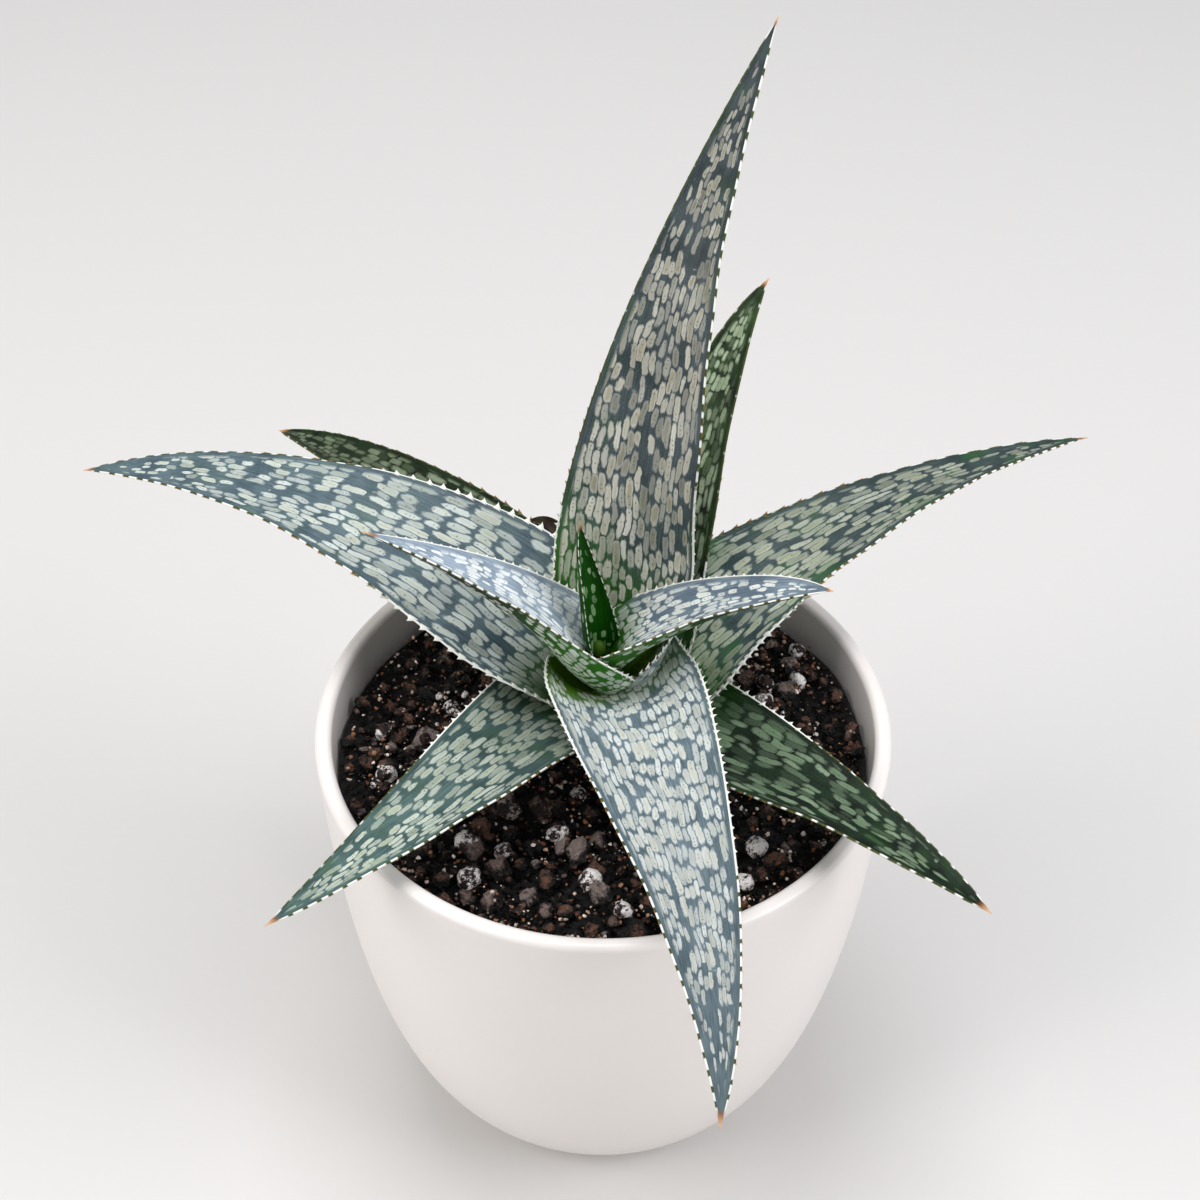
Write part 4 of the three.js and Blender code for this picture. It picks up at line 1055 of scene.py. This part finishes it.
def turned(name, profile, sides, material):
    """A solid of revolution. The profile runs from the axis, round the outside, back to the axis."""
    profile = np.asarray(profile)
    inner = profile[1:-1]
    turns = np.linspace(0, 2 * np.pi, sides, endpoint=False)
    ring = np.stack([np.outer(np.cos(turns), inner[:, 0]), np.outer(np.sin(turns), inner[:, 0]),
                     np.broadcast_to(inner[:, 1], (sides, len(inner)))], axis=-1)
    index = np.arange(sides * len(inner)).reshape(sides, len(inner))
    after = np.roll(index, -1, axis=0)
    quads = np.stack([index[:, :-1], after[:, :-1], after[:, 1:], index[:, 1:]], axis=-1).reshape(-1, 4)
    low, high = sides * len(inner), sides * len(inner) + 1
    verts = np.concatenate([ring.reshape(-1, 3), [[0, 0, profile[0, 1]]], [[0, 0, profile[-1, 1]]]])
    faces = quads.tolist()
    for i in range(sides):
        faces.append([int(after[i, 0]), int(index[i, 0]), low])
        faces.append([int(index[i, -1]), int(after[i, -1]), high])
    return new_piece(name, verts * MM, faces, material)


def soil_height(x, y):
    """The level of the mix at a place, in millimetres: gently rippled, and lower at the wall."""
    ripple = np.sin(x * 0.21 + 1.3) * np.cos(y * 0.17 - 0.4) + 0.6 * np.sin(x * 0.09 - y * 0.13)
    rim = np.hypot(x, y) / (RIM_RADIUS - POT_WALL)
    return SOIL_LEVEL + 0.8 * ripple - SOIL_SINK * rim ** 4


LUMP_INPUTS = dict(
    Flatness=("NodeSocketFloat", 0.7), Faces=("NodeSocketInt", 2), Dents=("NodeSocketFloat", 0.5),
    Sink=("NodeSocketFloat", 0.0), Toss=("NodeSocketFloat", 0.0), Seed=("NodeSocketInt", 1),
    Material=("NodeSocketMaterial", None))


def strewn_tree():
    """Geometry Nodes: lumps of random size strewn over a surface."""
    tree, given, result = new_tree(
        "strewn_lumps", Spacing=("NodeSocketFloat", 0.002), Density=("NodeSocketFloat", 60000.0),
        Smallest=("NodeSocketFloat", 0.001), Largest=("NodeSocketFloat", 0.002),
        Clusters=("NodeSocketFloat", 0.0), **LUMP_INPUTS)
    drifts = add(tree, "ShaderNodeTexNoise", ins={"Scale": 190.0, "Detail": 2.0})
    inside = add(tree, "ShaderNodeMapRange", drifts, 0.5, 0.62, 0.0, 1.0)
    inside = add(tree, "ShaderNodeMath", inside, 1.0, operation="SUBTRACT")
    share = add(tree, "ShaderNodeMath", inside, given.outputs["Clusters"], 1.0, operation="MULTIPLY_ADD")
    points = add(tree, "GeometryNodeDistributePointsOnFaces", distribute_method="POISSON", ins={
        "Mesh": given.outputs["Geometry"], "Distance Min": given.outputs["Spacing"],
        "Density Max": given.outputs["Density"], "Density Factor": share, "Seed": given.outputs["Seed"]})
    size = add(tree, "FunctionNodeRandomValue", data_type="FLOAT", ins={"Seed": given.outputs["Seed"]})
    skewed = add(tree, "ShaderNodeMath", size.outputs[1], 1.6, operation="POWER")
    bulk = add(tree, "ShaderNodeMix", skewed, given.outputs["Smallest"], given.outputs["Largest"])
    tone = add(tree, "FunctionNodeRandomValue", data_type="FLOAT", ins={"Seed": 9})
    lump_copies(tree, given, result, points.outputs["Points"], bulk, tone.outputs[1])
    return tree


def placed_tree():
    """Geometry Nodes: the same lumps on given points, whose size and tone are the points' own."""
    tree, given, result = new_tree("placed_lumps", **LUMP_INPUTS)
    bulk, tone = (add(tree, "GeometryNodeInputNamedAttribute", data_type="FLOAT", ins={"Name": label})
                  for label in ("bulk", "tone"))
    lump_copies(tree, given, result, given.outputs["Geometry"], bulk, tone)
    return tree


def lump_copies(tree, given, result, points, bulk, tone):
    """The part that both trees share: a ball on each point, stretched, turned, dented and tossed up or
    down in its own way."""
    ball = add(tree, "GeometryNodeMeshIcoSphere",
               ins={"Radius": 1.0, "Subdivisions": given.outputs["Faces"]})
    # The height in the ball, kept so that each lump can be painted paler on top and darker below: painted
    # light and shade
    lit_crown = add(tree, "ShaderNodeSeparateXYZ", add(tree, "GeometryNodeInputPosition"))
    ball = add(tree, "GeometryNodeStoreNamedAttribute", data_type="FLOAT", domain="POINT",
               ins={"Geometry": ball.outputs["Mesh"], "Name": "lit_crown", "Value": lit_crown.outputs[2]})
    tall = add(tree, "FunctionNodeRandomValue", data_type="FLOAT_VECTOR", ins={
        0: (0.85, 0.75, 0.65), 1: (1.2, 1.05, 0.95), "Seed": 5})
    spin = add(tree, "FunctionNodeRandomValue", data_type="FLOAT_VECTOR", ins={
        0: (-0.6, -0.6, 0.0), 1: (0.6, 0.6, 6.283), "Seed": 6})
    turn = add(tree, "FunctionNodeEulerToRotation", spin.outputs[0])
    shape = add(tree, "ShaderNodeVectorMath", tall.outputs[0], ins={3: bulk}, operation="SCALE")
    squash = add(tree, "ShaderNodeCombineXYZ", 1.0, 1.0, given.outputs["Flatness"])
    shape = add(tree, "ShaderNodeVectorMath", shape, squash, operation="MULTIPLY")
    copies = add(tree, "GeometryNodeInstanceOnPoints", ins={
        "Points": points, "Instance": ball, "Rotation": turn, "Scale": shape})
    kept = copies
    luck = add(tree, "FunctionNodeRandomValue", data_type="FLOAT", ins={2: -1.0, 3: 1.0, "Seed": 12})
    for label, value in (("tone", tone), ("bulk", bulk), ("luck", luck.outputs[1])):
        kept = add(tree, "GeometryNodeStoreNamedAttribute", data_type="FLOAT", domain="INSTANCE",
                   ins={"Geometry": kept, "Name": label, "Value": value})
    real = add(tree, "GeometryNodeRealizeInstances", kept)
    own, chance = (add(tree, "GeometryNodeInputNamedAttribute", data_type="FLOAT", ins={"Name": label})
                   for label in ("bulk", "luck"))
    spot = add(tree, "GeometryNodeInputPosition")
    scale = add(tree, "ShaderNodeMath", 0.7, own, operation="DIVIDE")
    field = add(tree, "ShaderNodeTexNoise", spot, ins={"Scale": scale, "Detail": 2.0, "Roughness": 0.65})
    push = add(tree, "ShaderNodeVectorMath", field.outputs["Color"], HALF, operation="SUBTRACT")
    amount = add(tree, "ShaderNodeMath", own, given.outputs["Dents"], operation="MULTIPLY")
    amount = add(tree, "ShaderNodeMath", amount, 4.0, operation="MULTIPLY")
    push = add(tree, "ShaderNodeVectorMath", push, ins={3: amount}, operation="SCALE")
    drop = add(tree, "ShaderNodeMath", own, given.outputs["Sink"], operation="MULTIPLY")
    toss = add(tree, "ShaderNodeMath", chance, given.outputs["Toss"], operation="MULTIPLY")
    lift = add(tree, "ShaderNodeMath", toss, drop, operation="SUBTRACT")
    lift = add(tree, "ShaderNodeCombineXYZ", 0.0, 0.0, lift)
    push = add(tree, "ShaderNodeVectorMath", push, lift, operation="ADD")
    dented = add(tree, "GeometryNodeSetPosition", ins={"Geometry": real, "Offset": push})
    worn = add(tree, "GeometryNodeSetMaterial",
               ins={"Geometry": dented, "Material": given.outputs["Material"]})
    plug(tree, worn, result.inputs[0])


def disc_faces(rings, sides):
    """The faces of a disc made of rings of points round its middle, which is point 0."""
    middle = [[0, 1 + i, 1 + (i + 1) % sides] for i in range(sides)]
    return middle + quads_between(rings, sides, first=1)


def soil_rings(reach, rings, sides):
    """The bumpy top of the mix as a grid of rings round its middle, in millimetres."""
    radii = np.linspace(0, reach, rings + 1)[1:]
    turns = np.linspace(0, 2 * np.pi, sides, endpoint=False)
    x, y = np.outer(radii, np.cos(turns)), np.outer(radii, np.sin(turns))
    rough = 0.35 * np.sin(x * 1.9 + 0.6) * np.sin(y * 2.3 + 1.1) + 0.25 * np.sin(x * 3.7 - y * 2.9)
    z = soil_height(x, y) - SOIL_SETTLED + 0.5 * rough
    return np.stack([x, y, z], axis=-1)


def soil_bed(material, hollow):
    """The body of the mix, from the pot's floor to its bumpy top, which lies below the clods."""
    sides = 120
    floor = FLOOR_THICKNESS + FIT_GAP
    bumpy = soil_rings(RIM_RADIUS - POT_WALL - 1.0, 40, sides) - [0, 0, hollow]
    wall = wall_outline(POT_WALL + FIT_GAP, 24)[::-1]
    wall = [p for p in wall if FLOOR_THICKNESS + 1.5 < p[1] < SOIL_LEVEL - 5]
    turns = np.linspace(0, 2 * np.pi, sides, endpoint=False)
    x, y = np.cos(turns), np.sin(turns)
    rows = list(bumpy)
    for radius, height in [*wall, (FOOT_RADIUS - POT_WALL - 1, floor)]:
        rows.append(np.stack([radius * x, radius * y, np.full(sides, height)], axis=1))
    verts = np.concatenate([[[0, 0, soil_height(0, 0) - SOIL_SETTLED]], *rows, [[0, 0, floor]]])
    last = 1 + (len(rows) - 1) * sides
    faces = disc_faces(len(rows), sides)
    faces += [[last + (i + 1) % sides, last + i, len(verts) - 1] for i in range(sides)]
    piece = new_piece("soil_bed", verts * MM, faces, material)
    attribute(piece.data, "tone", 0.5 + 0.5 * np.sin(verts[:, 0] * 1.7) * np.sin(verts[:, 1] * 1.3))
    return piece


def soil_surface(material):
    """The face over which the lumps are strewn."""
    rings, sides = 20, 60
    bumpy = soil_rings(RIM_RADIUS - POT_WALL - 2.6, rings, sides)
    verts = np.concatenate([[[0, 0, soil_height(0, 0)]], bumpy.reshape(-1, 3)])
    return new_piece("soil_surface", verts * MM, disc_faces(rings, sides), material)


def perlite_grains(tree, material):
    """The large grains of perlite, each set halfway into the mix."""
    places = [(x * MM, y * MM, (soil_height(x, y) + 0.5 * radius) * MM) for x, y, radius, dust in PERLITE]
    grains = new_piece("perlite_grains", places, [], material)
    attribute(grains.data, "bulk", [radius * MM for x, y, radius, dust in PERLITE])
    attribute(grains.data, "tone", [dust for x, y, radius, dust in PERLITE])
    with_nodes(grains, tree, Material=material, Flatness=1.1, Faces=4, Dents=0.2, Sink=0.0, Seed=4)
    for polygon in grains.data.polygons:
        polygon.use_smooth = True
    return grains


# Settings


class AloePotSettings(bpy.types.PropertyGroup):
    """Sizes of the pot's finish."""
    sides: bpy.props.IntProperty(
        name="Sides", description="Number of sides of the turned pot", default=192, min=24, max=512)
    rim_round: bpy.props.FloatProperty(
        name="Rim rounding", description="Radius of the rounded edges of the rim", default=RIM_ROUND * MM,
        unit="LENGTH")


class AloeLeafSettings(bpy.types.PropertyGroup):
    """Sizes of the teeth along the leaves."""
    tooth_height: bpy.props.FloatProperty(
        name="Tooth height", description="How far a tooth stands out", default=0.0011, unit="LENGTH")
    tooth_root: bpy.props.FloatProperty(
        name="Tooth root", description="Half of a tooth's root, for teeth 1 mm apart", default=0.001,
        unit="LENGTH")
    tooth_lean: bpy.props.FloatProperty(
        name="Tooth lean", description="How far a tooth's point leans towards the leaf's tip",
        default=0.0005, unit="LENGTH")


class AloeSoilSettings(bpy.types.PropertyGroup):
    """How the lumps lie on the potting mix."""
    clod_spacing: bpy.props.FloatProperty(
        name="Clod spacing", description="Least distance between the large clods", default=0.0043,
        unit="LENGTH")
    crumb_spacing: bpy.props.FloatProperty(
        name="Crumb spacing", description="Least distance between the middling crumbs", default=0.0028,
        unit="LENGTH")
    grit_spacing: bpy.props.FloatProperty(
        name="Grit spacing", description="Least distance between the small crumbs", default=0.0019,
        unit="LENGTH")
    hollow: bpy.props.FloatProperty(
        name="Hollow depth", description="How far the bed lies below the level of the mix", default=0.0014,
        unit="LENGTH")


class AloeStageSettings(bpy.types.PropertyGroup):
    """The floor and lights."""
    floor_colour: bpy.props.FloatVectorProperty(
        name="Floor colour", description="Colour of the floor", subtype="COLOR", size=4,
        default=linear("dcdad8"), min=0.0, max=1.0)
    side_power: bpy.props.FloatProperty(
        name="Side lights", description="Power of the large light on either side", default=6.15,
        unit="POWER")
    top_power: bpy.props.FloatProperty(
        name="Top light", description="Power of the light above", default=5.7, unit="POWER")
    sky_strength: bpy.props.FloatProperty(
        name="Sky strength", description="Brightness of the plain world round the stage", default=0.43,
        min=0.0)


# Operators


class ALOE_OT_pot(bpy.types.Operator):
    """Turns the ceramic pot"""
    bl_idname = "aloe.make_pot"
    bl_label = "Make pot"

    def execute(self, context):
        settings = context.scene.aloe_pot
        corner = settings.rim_round / MM
        top = POT_HEIGHT - corner
        # The wall's two curves stop a little short of the rounded rim and of the floor
        highest, lowest = top - 0.4, FLOOR_THICKNESS + 1
        outside = [p for p in wall_outline(0, 60) if p[1] < highest]
        inside = [p for p in wall_outline(POT_WALL, 60)[::-1] if lowest < p[1] < highest]
        profile = [(0, 0), (FOOT_RADIUS - 4, 0), (FOOT_RADIUS - 0.2, 0), *outside[1:],
                   *round_corner(RIM_RADIUS - corner, top, corner, 0, 90, 8),
                   *round_corner(RIM_RADIUS - POT_WALL + corner, top, corner, 90, 180, 8),
                   *inside, (FOOT_RADIUS - POT_WALL, FLOOR_THICKNESS), (0, FLOOR_THICKNESS)]
        piece = turned("pot_glazed", profile, settings.sides, satin_ceramic())
        give(piece, "ceramic", "pot")
        return {"FINISHED"}


class ALOE_OT_soil(bpy.types.Operator):
    """Fills the pot with potting mix, clods, crumbs and perlite"""
    bl_idname = "aloe.make_soil"
    bl_label = "Make potting mix"

    def execute(self, context):
        sizes = context.scene.aloe_soil
        # The bed is near black: partly the damp peat's own colour and partly painted shade in the gaps
        # between the lumps
        peat_and_shade = potting_mix("damp_peat_and_painted_shade", "040202", "0f0906", "150e0a")
        bark = potting_mix("composted_bark", "070403", "86604e", "ac9a94")
        fleck, perlite = fibres_and_painted_glints(), expanded_perlite()
        surface = soil_surface(peat_and_shade)
        give(soil_bed(peat_and_shade, sizes.hollow / MM), "potting_mix", "soil")
        strewn, placed = strewn_tree(), placed_tree()
        rows = (
            ("soil_clods", bark, dict(
                Spacing=sizes.clod_spacing, Density=60000.0, Smallest=0.0013, Largest=0.0027, Faces=3,
                Dents=0.6, Sink=-0.2, Toss=0.0009, Seed=3)),
            ("soil_crumbs", bark, dict(
                Spacing=sizes.crumb_spacing, Density=120000.0, Smallest=0.0005, Largest=0.0016, Faces=2,
                Dents=0.5, Sink=0.3, Toss=0.0008, Seed=14)),
            ("soil_grit", bark, dict(
                Spacing=sizes.grit_spacing, Density=300000.0, Smallest=0.0003, Largest=0.0008, Faces=1,
                Dents=0.4, Sink=0.0, Toss=0.0009, Seed=8)),
            # Orange tan fibres, and pinkish white specks that are painted glints
            ("soil_flecks_and_glints", fleck, dict(
                Spacing=0.0007, Density=1300000.0, Smallest=0.00008, Largest=0.00052, Clusters=0.85,
                Faces=1, Dents=0.6, Sink=-4.0, Toss=0.0011, Seed=21)),
            ("perlite_crumbs", perlite, dict(
                Spacing=0.0045, Density=30000.0, Smallest=0.0002, Largest=0.001, Clusters=0.6, Faces=2,
                Dents=0.4, Sink=-1.2, Toss=0.0003, Seed=31)),
        )
        for name, material, inputs in rows:
            piece = new_piece(name, [v.co for v in surface.data.vertices],
                              [list(p.vertices) for p in surface.data.polygons], material)
            with_nodes(piece, strewn, Material=material, Flatness=0.9, **inputs)
            give(piece, "potting_mix")
        give(perlite_grains(placed, perlite), "potting_mix")
        bpy.data.objects.remove(surface)
        return {"FINISHED"}


class ALOE_OT_stem(bpy.types.Operator):
    """Makes the short stem that the leaves grow from"""
    bl_idname = "aloe.make_stem"
    bl_label = "Make stem"

    def execute(self, context):
        heights = np.linspace(STEM_FOOT, STEM_TOP - 3, 40)
        scars = 0.35 * np.abs(np.sin((heights - STEM_FOOT) * 0.9))
        radii = STEM_RADIUS * (1 - 0.08 * (heights - STEM_FOOT) / (STEM_TOP - STEM_FOOT)) - scars
        profile = [(0, heights[0]), *zip(radii, heights), (radii[-1] * 0.6, heights[-1] + 1.2),
                   (0, heights[-1] + 1.6)]
        piece = turned("stem_corky", profile, 48, corky_stem())
        for vertex in piece.data.vertices:
            vertex.co.x += AXIS[0] * MM
            vertex.co.y += AXIS[1] * MM
        give(piece, "stem", "stem")
        flesh = growing_point()
        for row in GROWING:
            give(self.young_leaf(flesh, *row), "stem")
        return {"FINISHED"}

    def young_leaf(self, material, name, middle, length, breadth, lean, depth):
        """An egg of flesh with a crease down the side that faces the camera."""
        crease_at, crease_width = math.radians(-112), 0.16
        turns = np.linspace(-np.pi / 2, np.pi / 2, 21)
        profile = np.stack([breadth * np.cos(turns), length * np.sin(turns)], axis=1)
        bud = turned(name, profile, 64, material)
        for vertex in bud.data.vertices:
            off = math.atan2(vertex.co.y, vertex.co.x) - crease_at
            crease = 1 - depth * math.exp(-(off / crease_width) ** 2)
            vertex.co.x, vertex.co.y = vertex.co.x * crease, vertex.co.y * crease
        place = Matrix.Translation(Vector(middle) * MM)
        bud.data.transform(place @ Matrix.Rotation(math.radians(lean), 4, "Y"))
        return bud


class ALOE_OT_leaves(bpy.types.Operator):
    """Makes the leaves with their spotted skin and toothed margins"""
    bl_idname = "aloe.make_leaves"
    bl_label = "Make leaves"

    def execute(self, context):
        sizes = context.scene.aloe_leaf
        spots = spotting_group()
        horn = horny_teeth()
        tree = teeth_tree()
        skins = {name: waxy_leaf("waxy_leaf_" + name, look, spots) for name, look in LOOKS.items()}
        slots = {s["node"]: s["material_slot"] for s in frame["record"]["subparts"]}
        for number, leaf in enumerate(LEAVES):
            form = leaf_form(leaf, number)
            blade = leaf_blade(leaf, form, number, skins[leaf["look"]])
            teeth = leaf_teeth(leaf, form, horn, tree, sizes)
            for piece in (blade, teeth):
                give(piece, slots[leaf["name"]], leaf["name"])
        return {"FINISHED"}


class ALOE_OT_stage(bpy.types.Operator):
    """Sets the pale floor, the soft lights and the camera"""
    bl_idname = "aloe.make_stage"
    bl_label = "Make stage"

    def execute(self, context):
        settings = context.scene.aloe_stage
        half = 3.0
        corners = [(-half, -half, 0), (half, -half, 0), (half, half, 0), (-half, half, 0)]
        floor = new_piece("floor", corners, [[0, 1, 2, 3]], pale_floor(settings.floor_colour))
        self.light("left", (-0.85, -0.35, 0.75), 0.7, settings.side_power * 0.9, "fffdfa")
        self.light("right", (0.85, -0.3, 0.75), 0.7, settings.side_power, "fbfcff")
        self.light("top", (-0.1, 0.2, 1.15), 0.6, settings.top_power, "fdfdff")
        world = context.scene.world or bpy.data.worlds.new("studio")
        context.scene.world = world
        world.use_nodes = True
        sky = world.node_tree.nodes["Background"]
        sky.inputs["Color"].default_value = linear("f7f9fc")
        sky.inputs["Strength"].default_value = settings.sky_strength
        context.scene.view_settings.view_transform = "Standard"
        self.camera(context)
        return {"FINISHED"}

    def light(self, name, place, size, power, colour):
        """A round soft light that faces the middle of the pot."""
        data = bpy.data.lights.new(name, "AREA")
        data.shape = "DISK"
        data.size = size
        data.energy = power
        data.color = linear(colour)[:3]
        lamp = bpy.data.objects.new(name, data)
        lamp.location = place
        lamp.rotation_euler = (Vector((0, 0, 0.1)) - Vector(place)).to_track_quat("-Z", "Y").to_euler()
        bpy.context.scene.collection.objects.link(lamp)

    def camera(self, context):
        """The photograph's view, as worked out from the ellipse of the rim."""
        data = bpy.data.cameras.new("camera")
        data.sensor_width = 36.0
        data.lens = data.sensor_width / 2 / math.tan(FIELD_OF_VIEW / 2)
        data.clip_start = 0.01
        camera = bpy.data.objects.new("camera", data)
        tilt = Matrix.Rotation(math.pi / 2 - LOOKING_DOWN, 4, "X")
        turn = Matrix.Rotation(CAMERA_TURN, 4, "Z")
        camera.matrix_world = Matrix.Translation(CAMERA_PLACE) @ tilt @ turn
        context.scene.collection.objects.link(camera)
        context.scene.camera = camera


class ALOE_PT_panel(bpy.types.Panel):
    """Lists the aloe's settings and steps"""
    bl_idname = "ALOE_PT_panel"
    bl_label = "Potted aloe"
    bl_space_type = "VIEW_3D"
    bl_region_type = "UI"
    bl_category = "Aloe"

    def draw(self, context):
        scene = context.scene
        for settings, operators in (
                (scene.aloe_pot, (ALOE_OT_pot,)), (scene.aloe_soil, (ALOE_OT_soil,)),
                (scene.aloe_leaf, (ALOE_OT_stem, ALOE_OT_leaves)), (scene.aloe_stage, (ALOE_OT_stage,))):
            box = self.layout.box()
            for name in settings.__annotations__:
                box.prop(settings, name)
            for operator in operators:
                box.operator(operator.bl_idname)


SETTINGS = {
    "aloe_pot": AloePotSettings,
    "aloe_soil": AloeSoilSettings,
    "aloe_leaf": AloeLeafSettings,
    "aloe_stage": AloeStageSettings,
}
STEPS = (ALOE_OT_pot, ALOE_OT_soil, ALOE_OT_stem, ALOE_OT_leaves, ALOE_OT_stage)


def register():
    for kind in (*SETTINGS.values(), *STEPS, ALOE_PT_panel):
        bpy.utils.register_class(kind)
    for name, kind in SETTINGS.items():
        setattr(bpy.types.Scene, name, bpy.props.PointerProperty(type=kind))


def unregister():
    for name in SETTINGS:
        delattr(bpy.types.Scene, name)
    for kind in reversed((*SETTINGS.values(), *STEPS, ALOE_PT_panel)):
        bpy.utils.unregister_class(kind)


def main():
    """Builds every piece and the stage."""
    register()
    bpy.ops.aloe.make_pot()
    bpy.ops.aloe.make_soil()
    bpy.ops.aloe.make_stem()
    bpy.ops.aloe.make_leaves()
    bpy.ops.aloe.make_stage()


if __name__ == "__main__":
    main()
